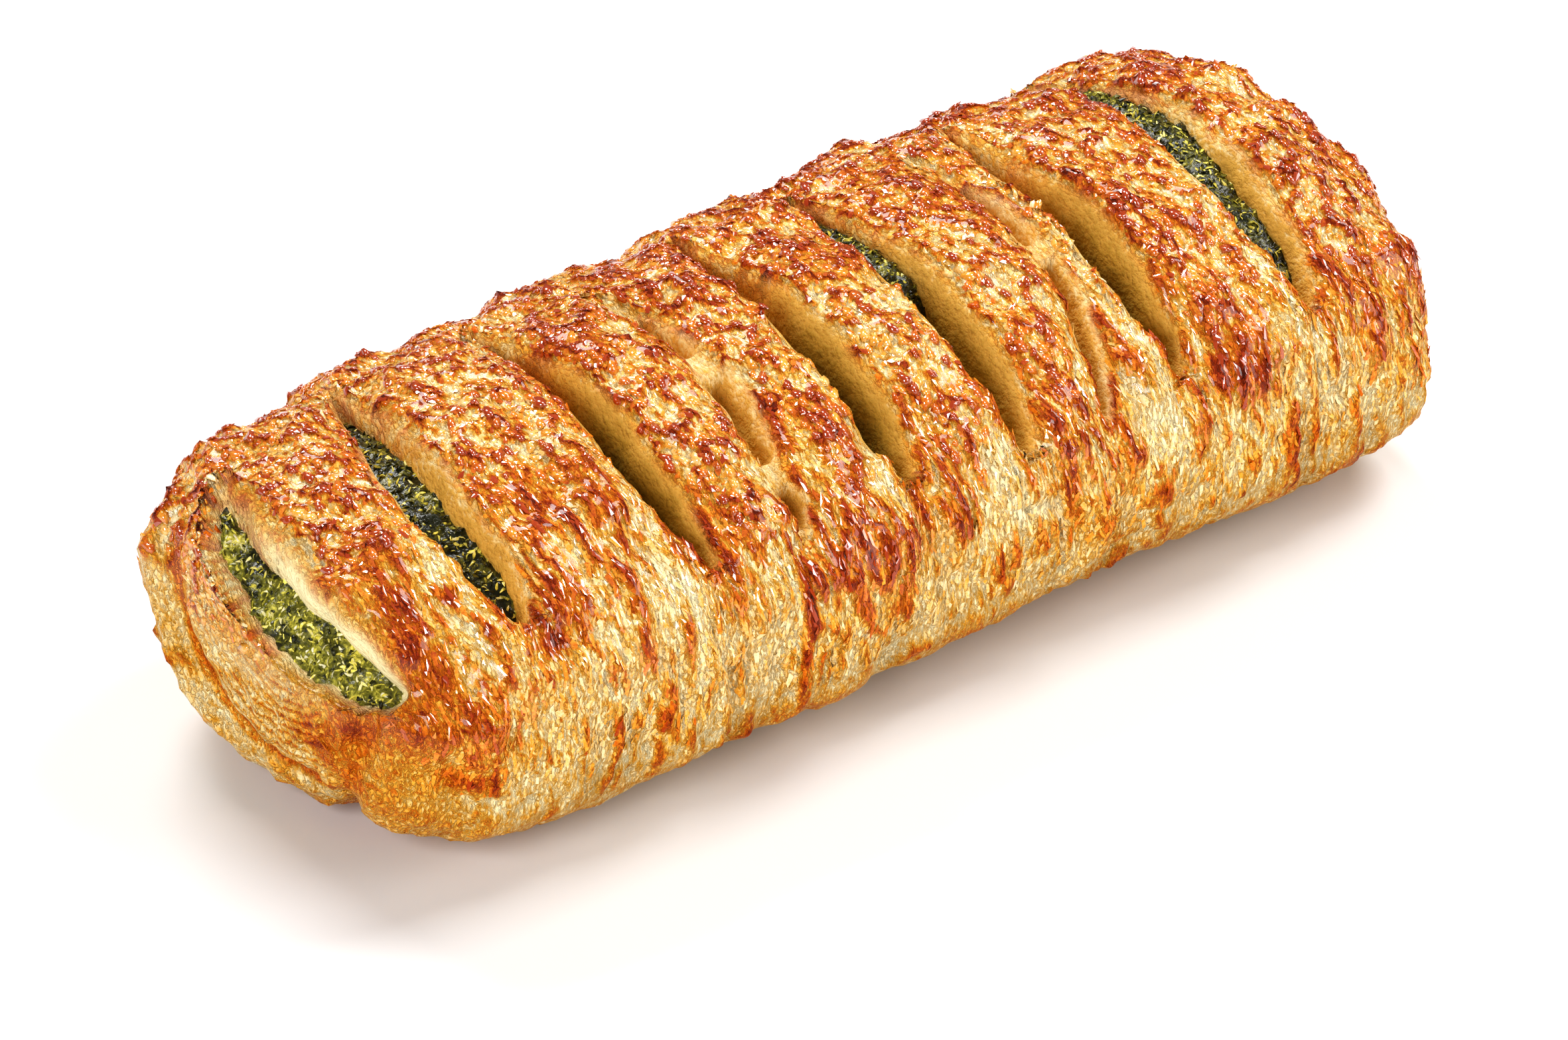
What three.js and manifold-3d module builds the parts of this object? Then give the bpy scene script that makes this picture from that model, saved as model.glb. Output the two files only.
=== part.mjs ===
// Spinach strudel: a baked roll of puff pastry, slit across its top over a spinach filling.
// Millimetres, +Z up. X runs along the roll, with the end that gapes open at -X and the
// front of the roll at -Y. The origin is on the floor, under the middle of the roll.

import * as THREE from "three";
import { mergeVertices } from "three/addons/utils/BufferGeometryUtils.js";
import Module from "manifold-3d";

const wasm = await Module();
wasm.setup();

// Driving dimensions of the roll before its crust rises unevenly.
const LENGTH = 149;
const WIDTH = 68.6;
const HEIGHT = 42.5;
const WIDEST_HEIGHT = 19.3; // height of the widest line, and of the hub that angles are taken about
const BASE_SINK = 1.2; // how far the soft underside is pressed flat by the tray
const TOP_POWER = 2.05; // superellipse powers of the section above and below the widest line
const BASE_POWER = 3.2;
const NEAR_END_POWER = 4.7; // how squarely each end closes
const FAR_END_POWER = 8;
const TAPER = 0.018; // how much larger the near half is than the far half, as a share
const WAIST = 1.5; // how much the middle draws in on each side
const HEEL = { angle: 122, spread: 26, depth: 1.8 }; // and round its lower edge

// Crust thickness over the filling, and the play left between the two solids.
const CRUST_SIDE = 5;
const CRUST_TOP = 5.2;
const CRUST_BASE = 3.6;
const CRUST_NEAR_END = 3.4;
const CRUST_FAR_END = 5.4;
const FILLING_PLAY = 0.3;

// Slits from the near end to the far end. At an angle t, in units of SLIT_TURN from the crest
// towards the front, a slit lies at x + lean * t + hook * t * t.
const SLIT_TURN = 60;
const SLITS = [
  { x: -54, lean: -4, hook: 0, width: 5.6, back: -41, front: 61 },
  { x: -32.2, lean: -1.8, hook: -0.6, width: 5, back: -42, front: 66 },
  { x: -17.2, lean: -1.4, hook: -0.4, width: 2.6, back: -34, front: 51 },
  { x: -2.8, lean: -1.8, hook: -0.4, width: 6.2, back: -42, front: 65 },
  { x: 12.4, lean: -1.2, hook: -0.8, width: 5.8, back: -40, front: 70 },
  { x: 28.6, lean: 0, hook: -4.4, width: 2.4, back: -32, front: 69 },
  { x: 35.8, lean: -1.6, hook: -0.4, width: 5.4, back: -38, front: 69 },
  { x: 54.6, lean: -0.8, hook: -1.2, width: 5.6, back: -40, front: 67 },
];
const SLIT_FLOOR_SHARE = 0.55; // a slit's width at its floor, as a share of its width at the mouth
const SLIT_TIP_SHARE = 0.1; // and its width left at the tips
const SLIT_DEPTH = 9;
const SLIT_CLEAR = 5; // how far the cutter stands out of the crust

// Gap in the near end, between the arch of the first rib and the flap folded up from the base.
// Along it, from -1 at its front tip to 1 at its back tip, its middle lies at z + climb * t + bow * t * t.
const GAP = { y: -4.8, z: 32.2, climb: 3.6, bow: 0.8, halfWidth: 17.4, halfHeight: 6, lean: 22 };
const GAP_DEPTH = 11;
const GAP_SPREAD = { mouth: 1.12, inside: 0.85 }; // its height at the mouth and inside, as shares

// Relief of the crust.
const RIB_RISE = 1.3; // swelling half way between two slits
const RIB_FOOT = { low: 15, high: 32 }; // heights between which the ribs grow out of the sides
const LIP_DROP = 1.3; // drop of the crust at a slit
const LIP_RUN = 3.2;
const VALLEY_FADE = 15; // degrees either side of a slit's tip over which its valley fades
const VALLEY_SHORT = 10; // degrees by which the valley stops short of the back tip
const SWELL = { size: 17, height: 0.9, seed: 0 };
const CRAG = { size: 5, height: 1.3, seed: 40, low: 19, high: 34 };
const WRINKLE = { size: 4.6, height: 0.8, seed: 7, stretch: 0.3, low: 4, high: 12 };
const END_ZONE = 17; // length of the near end that the folds take up
const CORNER_CREASE = { y: -19.8, z: 24.2, fade: 3, slope: 0.44, run: 2.3, depth: 2.3 };
const CORNER_RIDGE = { x: -72, angle: 77, turn: 0.85, spread: 8, height: 1.3, start: -18, full: -24 };
const FLAP_GROOVE = { y: -4.5, z: 30, halfWidth: 19.5, halfHeight: 20, run: 0.1, depth: 1.4 };
const FLAP_RIM = { ring: 1.24, run: 0.16, height: 1.3 };
const FLAP_FADE = { start: -10, full: 0 }; // places across the end where the groove and the rim run out
const FLAP_TUCK = { y: -12, run: 5, top: 16, foot: 5, depth: 1.5 };
const FILLING_LUMP = { size: 4.5, height: 1.3, seed: 90 };

// Mesh resolution.
const CRUST_AROUND = 42;
const CRUST_ALONG = 92;
const FILLING_AROUND = 24;
const FILLING_ALONG = 34;
const CREST_CROWDING = 0.35; // how much closer the mesh lines run at the crest than at the widest line
const CUTTER_STEPS = { across: 2, along: 10, deep: 1 };
const CUT_TOLERANCE = 0.02; // slivers that the cuts leave are drawn in by this much

const degrees = THREE.MathUtils.degToRad;
const { smoothstep, lerp } = THREE.MathUtils;

const PASTRY_FINISH = new THREE.MeshStandardMaterial({ color: 0xd98a3c, roughness: 0.5, metalness: 0 });
const FILLING_FINISH = new THREE.MeshStandardMaterial({ color: 0x4c5227, roughness: 0.7, metalness: 0 });

// A loaf form: the roll itself, or the roll drawn in by the thickness of its crust.
function loafInset(side, top, base, nearEnd, farEnd) {
  return {
    middle: (nearEnd - farEnd) / 2,
    halfLength: (LENGTH - nearEnd - farEnd) / 2,
    halfWidth: WIDTH / 2 - side,
    riseTop: HEIGHT - WIDEST_HEIGHT - top,
    riseBase: WIDEST_HEIGHT - base,
    floor: base > 0 ? base - BASE_SINK : 0,
  };
}

const ROLL = loafInset(0, 0, 0, 0, 0);
const CAVITY = loafInset(CRUST_SIDE, CRUST_TOP, CRUST_BASE, CRUST_NEAR_END, CRUST_FAR_END);
const FILLING = loafInset(
  CRUST_SIDE + FILLING_PLAY,
  CRUST_TOP + FILLING_PLAY,
  CRUST_BASE + FILLING_PLAY,
  CRUST_NEAR_END + FILLING_PLAY,
  CRUST_FAR_END + FILLING_PLAY,
);

// Even random value from 0 to 1 for a lattice cell.
function cellValue(i, j, k) {
  const wave = Math.sin(i * 127.1 + j * 311.7 + k * 74.7) * 43758.5453;
  return wave - Math.floor(wave);
}

// Smooth noise from -1 to 1 with lumps about one unit across.
function noise(x, y, z) {
  const [i, j, k] = [x, y, z].map(Math.floor);
  const [a, b, c] = [x - i, y - j, z - k].map((f) => f * f * (3 - 2 * f));
  const edge = (dj, dk) => lerp(cellValue(i, j + dj, k + dk), cellValue(i + 1, j + dj, k + dk), a);
  return 2 * lerp(lerp(edge(0, 0), edge(1, 0), b), lerp(edge(0, 1), edge(1, 1), b), c) - 1;
}

// Rounded rise of height 1 that falls to a third at a distance of 1.
function bump(distance) {
  return Math.exp(-distance * distance);
}

// Rounded lumps of one size and height over a surface.
function lumps({ size, height, seed }, point) {
  return height * noise(point.x / size, point.y / size + seed, point.z / size);
}

function endPower(x) {
  return x < 0 ? NEAR_END_POWER : FAR_END_POWER;
}

// Share of the full section that is left at a place along the roll.
function endShrink(form, x) {
  const n = endPower(x);
  return Math.max(1 - Math.abs((x - form.middle) / form.halfLength) ** n, 0) ** (1 / n);
}

function taperAt(x) {
  return 1 - (TAPER * x) / (LENGTH / 2);
}

// Distance from the hub to the section's outline, at an angle from the crest towards the front.
function sectionRadius(form, angle) {
  const sine = Math.abs(Math.sin(angle));
  const cosine = Math.cos(angle);
  const power = cosine > 0 ? TOP_POWER : BASE_POWER;
  const rise = cosine > 0 ? form.riseTop : form.riseBase;
  return ((sine / form.halfWidth) ** power + (Math.abs(cosine) / rise) ** power) ** (-1 / power);
}

// Point of a section at an angle and a distance from the hub.
function onSection(x, angle, radius) {
  return new THREE.Vector3(x, -radius * Math.sin(angle), WIDEST_HEIGHT + radius * Math.cos(angle));
}

function loafPoint(form, x, angle) {
  return onSection(x, angle, endShrink(form, x) * taperAt(x) * sectionRadius(form, angle));
}

// Outward normal of the loaf, from how its superellipsoid level changes.
function loafNormal(form, point) {
  const level = (p) => {
    const angle = Math.atan2(-p.y, p.z - WIDEST_HEIGHT);
    const reach = Math.hypot(p.y, p.z - WIDEST_HEIGHT) / sectionRadius(form, angle);
    const n = endPower(p.x);
    return reach ** n + Math.abs((p.x - form.middle) / form.halfLength) ** n;
  };
  const step = 0.05;
  const slope = (axis) => {
    const ahead = point.clone();
    const behind = point.clone();
    ahead[axis] += step;
    behind[axis] -= step;
    return level(ahead) - level(behind);
  };
  return new THREE.Vector3(slope("x"), slope("y"), slope("z")).normalize();
}

// Places along the loaf, evenly spaced over its profile from one end to the other.
function evenStations(form, count) {
  const samples = 4000;
  const profile = [];
  for (let i = 0; i <= samples; i++) {
    const x = form.middle + form.halfLength * Math.sin(Math.PI * (i / samples - 0.5));
    profile.push(new THREE.Vector2(x, endShrink(form, x) * form.riseTop));
  }
  const travelled = [0];
  for (let i = 1; i <= samples; i++) {
    travelled.push(travelled[i - 1] + profile[i].distanceTo(profile[i - 1]));
  }
  const stations = [];
  let at = 0;
  for (let s = 0; s <= count; s++) {
    const goal = (travelled[samples] * s) / count;
    while (at < samples && travelled[at] < goal) at++;
    stations.push(profile[at].x);
  }
  return stations;
}

// Closed loaf mesh: a sphere whose rings are laid on the stations and pushed out by the relief.
function loafGeometry(form, around, along, relief) {
  const stations = evenStations(form, along);
  const sphere = new THREE.SphereGeometry(1, around, along).rotateZ(Math.PI / 2);
  const positions = sphere.getAttribute("position");
  for (let i = 0; i < positions.count; i++) {
    const ball = new THREE.Vector3().fromBufferAttribute(positions, i);
    const ring = Math.round((along * Math.acos(THREE.MathUtils.clamp(-ball.x, -1, 1))) / Math.PI);
    const turn = Math.atan2(-ball.y, ball.z);
    const angle = turn - CREST_CROWDING * Math.sin(turn);
    const point = loafPoint(form, stations[ring], angle);
    const height = relief(point.x, angle, point);
    point.addScaledVector(loafNormal(form, point), height);
    point.z = Math.max(point.z - BASE_SINK, form.floor);
    positions.setXYZ(i, point.x, point.y, point.z);
  }
  return sphere;
}

function slitCentre(slit, angle) {
  const t = THREE.MathUtils.radToDeg(angle) / SLIT_TURN;
  return slit.x + slit.lean * t + slit.hook * t * t;
}

// How fully a slit's valley is there at an angle: 1 between its tips, fading to 0 past them.
function slitPresence(slit, angle) {
  const turn = THREE.MathUtils.radToDeg(angle);
  const inside = Math.min(turn - slit.back - VALLEY_SHORT, slit.front - turn);
  return smoothstep(inside, -VALLEY_FADE, VALLEY_FADE);
}

// Ribs that swell between the slits and fall into them.
function ribRelief(x, angle) {
  let height = RIB_RISE;
  for (const slit of SLITS) {
    const away = (x - slitCentre(slit, angle)) / LIP_RUN;
    const dip = bump(away) * slitPresence(slit, angle);
    height -= (RIB_RISE + LIP_DROP * Math.min(slit.width / 4, 1)) * dip;
  }
  return height;
}

// Folds of the near end: the crease in its front corner, the ridge that runs round the corner
// from the gap, and the groove that sets the flap off from the rim round it.
function endRelief(x, angle, point) {
  const share = smoothstep(-x, LENGTH / 2 - END_ZONE, LENGTH / 2 - END_ZONE / 2);
  const creaseY = CORNER_CREASE.y + CORNER_CREASE.slope * (CORNER_CREASE.z - point.z);
  const low = 1 - smoothstep(point.z, CORNER_CREASE.z, CORNER_CREASE.z + CORNER_CREASE.fade);
  const crease = CORNER_CREASE.depth * bump((point.y - creaseY) / CORNER_CREASE.run) * low;
  const ridgeAngle = CORNER_RIDGE.angle + CORNER_RIDGE.turn * (x - CORNER_RIDGE.x);
  const offRidge = (THREE.MathUtils.radToDeg(angle) - ridgeAngle) / CORNER_RIDGE.spread;
  const round = smoothstep(-point.y, -CORNER_RIDGE.start, -CORNER_RIDGE.full);
  const ridge = CORNER_RIDGE.height * bump(offRidge) * round;
  const across = (point.y - FLAP_GROOVE.y) / FLAP_GROOVE.halfWidth;
  const up = (point.z - FLAP_GROOVE.z) / FLAP_GROOVE.halfHeight;
  const ring = Math.hypot(across, up);
  const groove = FLAP_GROOVE.depth * bump((ring - 1) / FLAP_GROOVE.run);
  const rim = FLAP_RIM.height * bump((ring - FLAP_RIM.ring) / FLAP_RIM.run);
  const flap = (rim - groove) * smoothstep(point.y, FLAP_FADE.start, FLAP_FADE.full);
  const foot = 1 - smoothstep(point.z, FLAP_TUCK.foot, FLAP_TUCK.top);
  const tuck = FLAP_TUCK.depth * foot * bump((point.y - FLAP_TUCK.y) / FLAP_TUCK.run);
  return share * (ridge - crease + flap - tuck);
}

// All the relief of the crust at a place on the roll.
function crustRelief(x, angle, point) {
  const topShare = smoothstep(point.z, CRAG.low, CRAG.high);
  const offEnd = smoothstep(endShrink(ROLL, x), 0.5, 0.9);
  const sideShare = smoothstep(point.z, WRINKLE.low, WRINKLE.high) * (1 - topShare) * offEnd;
  const reach = (WRINKLE.stretch * angle * WIDTH) / 2;
  const wrinkle = WRINKLE.height * noise(x / WRINKLE.size, reach / WRINKLE.size, WRINKLE.seed);
  const ribs = ribRelief(x, angle) * smoothstep(point.z, RIB_FOOT.low, RIB_FOOT.high);
  const middle = 1 - (x / ROLL.halfLength) ** 2;
  const heel = HEEL.depth * bump((Math.abs(THREE.MathUtils.radToDeg(angle)) - HEEL.angle) / HEEL.spread);
  const waist = -middle * (WAIST * Math.abs(Math.sin(angle)) + heel);
  const uneven = lumps(SWELL, point) + lumps(CRAG, point) * topShare + wrinkle * sideShare;
  return ribs + waist + uneven + endRelief(x, angle, point);
}

// Lumps of the filling, which only fall away from the crust round it.
function fillingRelief(x, angle, point) {
  return (lumps(FILLING_LUMP, point) - FILLING_LUMP.height) / 2;
}

// A wedge cutter: a box whose points are laid by place(along, across, deep), each from -1 to 1.
function cutterGeometry(place) {
  const { across, along, deep } = CUTTER_STEPS;
  const box = new THREE.BoxGeometry(2, 2, 2, across, along, deep);
  const positions = box.getAttribute("position");
  for (let i = 0; i < positions.count; i++) {
    const p = place(positions.getY(i), positions.getX(i), positions.getZ(i));
    positions.setXYZ(i, p.x, p.y, p.z);
  }
  return box;
}

// Lens outline of an opening, from its middle to its tips.
function lens(along) {
  return SLIT_TIP_SHARE + (1 - SLIT_TIP_SHARE) * (1 - along * along) ** 0.6;
}

function slitCutter(slit) {
  return cutterGeometry((along, across, deep) => {
    const angle = degrees(lerp(slit.front, slit.back, (along + 1) / 2));
    const spread = lerp(SLIT_FLOOR_SHARE, 1, (deep + 1) / 2);
    const x = slitCentre(slit, angle) + across * (slit.width / 2) * lens(along) * spread;
    const mouth = endShrink(ROLL, x) * taperAt(x) * sectionRadius(ROLL, angle);
    const point = onSection(x, angle, mouth + lerp(-SLIT_DEPTH, SLIT_CLEAR, (deep + 1) / 2));
    point.z -= BASE_SINK;
    return point;
  });
}

function gapCutter() {
  const lean = degrees(GAP.lean);
  return cutterGeometry((along, across, deep) => {
    const spread = lerp(GAP_SPREAD.inside, GAP_SPREAD.mouth, (deep + 1) / 2);
    const up = across * GAP.halfHeight * lens(along) * spread;
    const inward = lerp(GAP_DEPTH, -SLIT_CLEAR, (deep + 1) / 2);
    const x = -LENGTH / 2 + up * Math.sin(lean) + inward;
    const y = GAP.y + along * GAP.halfWidth;
    const z = GAP.z + GAP.climb * along + GAP.bow * along * along + up * Math.cos(lean) - BASE_SINK;
    return new THREE.Vector3(x, y, z);
  });
}

// A three.js geometry as a solid that can be cut, and back again.
function solidOf(geometry) {
  const bare = geometry.clone();
  bare.deleteAttribute("normal");
  bare.deleteAttribute("uv");
  const merged = mergeVertices(bare, 1e-4);
  const made = new wasm.Mesh({
    numProp: 3,
    vertProperties: new Float32Array(merged.getAttribute("position").array),
    triVerts: new Uint32Array(merged.index.array),
  });
  return new wasm.Manifold(made);
}

// The solid with its faces turned outward.
function facingOut(solid, geometry) {
  if (solid.volume() > 0) return solid;
  const index = geometry.index.array;
  for (let i = 0; i < index.length; i += 3) [index[i], index[i + 1]] = [index[i + 1], index[i]];
  return solidOf(geometry);
}

function geometryOf(solid) {
  const { numProp, vertProperties, triVerts } = solid.getMesh();
  const points = new Float32Array((vertProperties.length / numProp) * 3);
  for (let i = 0; i < points.length / 3; i++) {
    points.set(vertProperties.subarray(i * numProp, i * numProp + 3), i * 3);
  }
  const geometry = new THREE.BufferGeometry();
  geometry.setAttribute("position", new THREE.BufferAttribute(points, 3));
  geometry.setIndex(new THREE.BufferAttribute(new Uint32Array(triVerts), 1));
  geometry.computeVertexNormals();
  return geometry;
}

function cutSolid(geometry) {
  return facingOut(solidOf(geometry), geometry);
}

// The largest body of a solid, without scraps that a cut has left loose.
function mainBody(solid) {
  return solid.decompose().reduce((best, body) => (body.volume() > best.volume() ? body : best));
}

function makePastry() {
  let solid = cutSolid(loafGeometry(ROLL, CRUST_AROUND, CRUST_ALONG, crustRelief));
  const hollow = cutSolid(loafGeometry(CAVITY, FILLING_AROUND, FILLING_ALONG, () => 0));
  solid = solid.subtract(hollow);
  for (const slit of SLITS) solid = solid.subtract(cutSolid(slitCutter(slit)));
  solid = solid.subtract(cutSolid(gapCutter()));
  const body = mainBody(solid.asOriginal().simplify(CUT_TOLERANCE));
  const mesh = new THREE.Mesh(geometryOf(body), PASTRY_FINISH);
  mesh.name = "pastry";
  return mesh;
}

function makeFilling() {
  const geometry = loafGeometry(FILLING, FILLING_AROUND, FILLING_ALONG, fillingRelief);
  const mesh = new THREE.Mesh(geometryOf(cutSolid(geometry)), FILLING_FINISH);
  mesh.name = "spinach_filling";
  return mesh;
}

const strudel = new THREE.Group();
strudel.name = "spinach_strudel";
strudel.add(makePastry(), makeFilling());

// Bring the middle of the roll over the origin, with its underside on the floor.
const extent = new THREE.Box3().setFromObject(strudel);
const middle = extent.getCenter(new THREE.Vector3());
strudel.position.set(-middle.x, -middle.y, -extent.min.z);

export default strudel;
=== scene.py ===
"""Dresses the spinach strudel: a baked puff pastry roll, slit across its top over a spinach filling.

Sizes are in millimetres until a mesh is made. X runs along the roll, with the gaping end at -X,
the front of the roll is at -Y and Z is up. Angles about the roll are in degrees from its crest,
positive towards the front.
"""

import logging
import math
from collections.abc import Sequence
from dataclasses import dataclass, field, replace
from enum import Enum

import bmesh
import bpy
import numpy as np
from mathutils import Matrix, Vector


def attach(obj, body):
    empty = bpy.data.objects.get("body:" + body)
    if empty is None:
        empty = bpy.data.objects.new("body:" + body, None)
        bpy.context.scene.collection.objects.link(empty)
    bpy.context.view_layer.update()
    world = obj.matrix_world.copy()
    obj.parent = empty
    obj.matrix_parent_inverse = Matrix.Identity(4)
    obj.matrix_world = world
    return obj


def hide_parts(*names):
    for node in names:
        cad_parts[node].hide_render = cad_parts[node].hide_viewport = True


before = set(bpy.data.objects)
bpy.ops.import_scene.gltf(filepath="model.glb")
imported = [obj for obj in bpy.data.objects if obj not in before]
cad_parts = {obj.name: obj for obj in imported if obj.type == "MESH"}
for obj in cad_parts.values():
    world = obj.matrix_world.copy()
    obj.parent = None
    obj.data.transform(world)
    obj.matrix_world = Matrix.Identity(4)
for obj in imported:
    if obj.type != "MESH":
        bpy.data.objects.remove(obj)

LOG = logging.getLogger("strudel")
MM = 0.001
TINY = 1e-12
HALF_TURN = 180.0
ARC_RADIUS = 30.0
FLOOR_LEVEL = 1e-7
FLAT_ANGLE = 0.5
HASH_STEPS = (127.1, 311.7, 74.7)
HASH_SCALE = 43758.5453

Array = np.ndarray
Masks = dict[str, Array]
Range = tuple[float, float]
Triple = tuple[float, float, float]
Stops = tuple[tuple[float, Triple], ...]
Socket = bpy.types.NodeSocket
Sockets = bpy.types.bpy_prop_collection
Finish = bpy.types.Material
Piece = bpy.types.Object


class Slot(Enum):
    """Names of the material slots of the pastry and the filling."""

    PASTRY = "pastry"
    FILLING = "spinach_filling"


class Node(Enum):
    """Solids that the dressed pieces stand for."""

    PASTRY = "pastry"
    FILLING = "spinach_filling"


class Draw(Enum):
    """Seeds of the random values that each strewn shape gets."""

    SHAPE = 11
    SIZE = 12
    TONE = 13
    TILT_X = 21
    TILT_Y = 22
    SPIN = 23


def smoothstep(value: float | Array, low: float | Array, high: float | Array) -> Array:
    """Eases from 0 at low to 1 at high, also where low is the larger.

    Args:
        value: Numbers to ease.
        low: Where the result is 0.
        high: Where the result is 1.

    Returns:
        The eased numbers.
    """
    share = np.clip((value - low) / (high - low), 0.0, 1.0)
    return share * share * (3.0 - 2.0 * share)


def bump(distance: Array) -> Array:
    """Rounded rise of height 1 that falls to a third at a distance of 1."""
    return np.exp(-distance * distance)


@dataclass(frozen=True)
class Ease:
    """Easing of a number: the result is start at low, and start and gain together at high."""

    low: float
    high: float
    start: float = 0.0
    gain: float = 1.0

    def __call__(self, value: Array) -> Array:
        """The eased numbers."""
        return self.start + self.gain * smoothstep(value, self.low, self.high)


@dataclass(frozen=True)
class Bell:
    """Rounded rise: where its middle is, how wide it is and how high."""

    middle: float
    width: float
    height: float = 1.0

    def __call__(self, value: Array) -> Array:
        """Its height at each number."""
        return self.height * bump((value - self.middle) / self.width)


def unit(vectors: Array) -> Array:
    """Vectors brought to a length of 1."""
    return vectors / np.maximum(np.linalg.norm(vectors, axis=-1, keepdims=True), TINY)


def run_along(points: Array) -> Array:
    """Distance from the first point of a line of points to each of them, along the line."""
    return np.concatenate([[0.0], np.cumsum(np.linalg.norm(np.diff(points, axis=0), axis=1))])


def cell_value(i: Array, j: Array, k: Array) -> Array:
    """Even random value from 0 to 1 for each lattice cell."""
    wave = np.sin(i * HASH_STEPS[0] + j * HASH_STEPS[1] + k * HASH_STEPS[2]) * HASH_SCALE
    return wave - np.floor(wave)


def noise(x: Array, y: Array, z: float | Array) -> Array:
    """Smooth noise with lumps about one unit across.

    Args:
        x: First coordinate.
        y: Second coordinate.
        z: Third coordinate.

    Returns:
        Values from -1 to 1.
    """
    x, y, z = np.broadcast_arrays(*(np.asarray(v, dtype=float) for v in (x, y, z)))
    i, j, k = np.floor(x), np.floor(y), np.floor(z)
    a, b, c = (f * f * (3.0 - 2.0 * f) for f in (x - i, y - j, z - k))

    def edge(dj: int, dk: int) -> Array:
        """Value along one lattice edge."""
        start = cell_value(i, j + dj, k + dk)
        return start + (cell_value(i + 1, j + dj, k + dk) - start) * a

    def side(dk: int) -> Array:
        """Value over one side of the lattice cell."""
        start = edge(0, dk)
        return start + (edge(1, dk) - start) * b

    near = side(0)
    return 2.0 * (near + (side(1) - near) * c) - 1.0


@dataclass(frozen=True)
class Pattern:
    """Pattern of lumps or pebbles: size in millimetres, the seed that moves them and height of the lumps."""

    size: float
    seed: float
    height: float = 1.0
    margin: float = 0.15
    stray: float = 0.7
    radius: float = 0.8
    place_seeds: Triple = (17.0, 43.0, 71.0)
    tone_seed: float = 97.0

    def lumps(self, points: Array) -> Array:
        """Smooth noise over points, as far above 0 as below it."""
        x, y, z = (points[..., axis] / self.size for axis in range(3))
        return self.height * noise(x, y + self.seed, z)

    def pebbles(self, points: Array) -> tuple[Array, Array]:
        """Crowded rounded pebbles over a surface.

        Args:
            points: Places on the surface, in millimetres.

        Returns:
            Height of the pebble at each place, from 0 in the crevices to 1 on top, and a random value
            of the pebble, from 0 to 1.
        """
        place = points / self.size + self.seed
        cell = np.floor(place)
        nearest = np.full(points.shape[:-1], np.inf)
        value = np.zeros(points.shape[:-1])
        for step in np.ndindex(3, 3, 3):
            corner = cell + (np.array(step) - 1.0)
            i, j, k = corner[..., 0], corner[..., 1], corner[..., 2]
            centre = np.stack([cell_value(i, j, k + seed) for seed in self.place_seeds], axis=-1)
            away = np.linalg.norm(corner + self.margin + self.stray * centre - place, axis=-1)
            closer = away < nearest
            nearest = np.where(closer, away, nearest)
            value = np.where(closer, cell_value(i, j, k + self.tone_seed), value)
        return np.sqrt(np.clip(1.0 - (nearest / self.radius) ** 2, 0.0, 1.0)), value


@dataclass(frozen=True)
class Streaks:
    """Pattern of streaks round the roll: their width and length in millimetres and their seed."""

    width: float
    length: float
    seed: float

    def at(self, x: Array, arc: Array, bend: float | Array = 0.0) -> Array:
        """Smooth noise from -1 to 1, drawn out round the roll.

        Args:
            x: Places along the roll.
            arc: Places round it.
            bend: How far the streaks stray along the roll, in widths.

        Returns:
            The noise.
        """
        return noise(x / self.width + bend, arc / self.length, self.seed)


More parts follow.
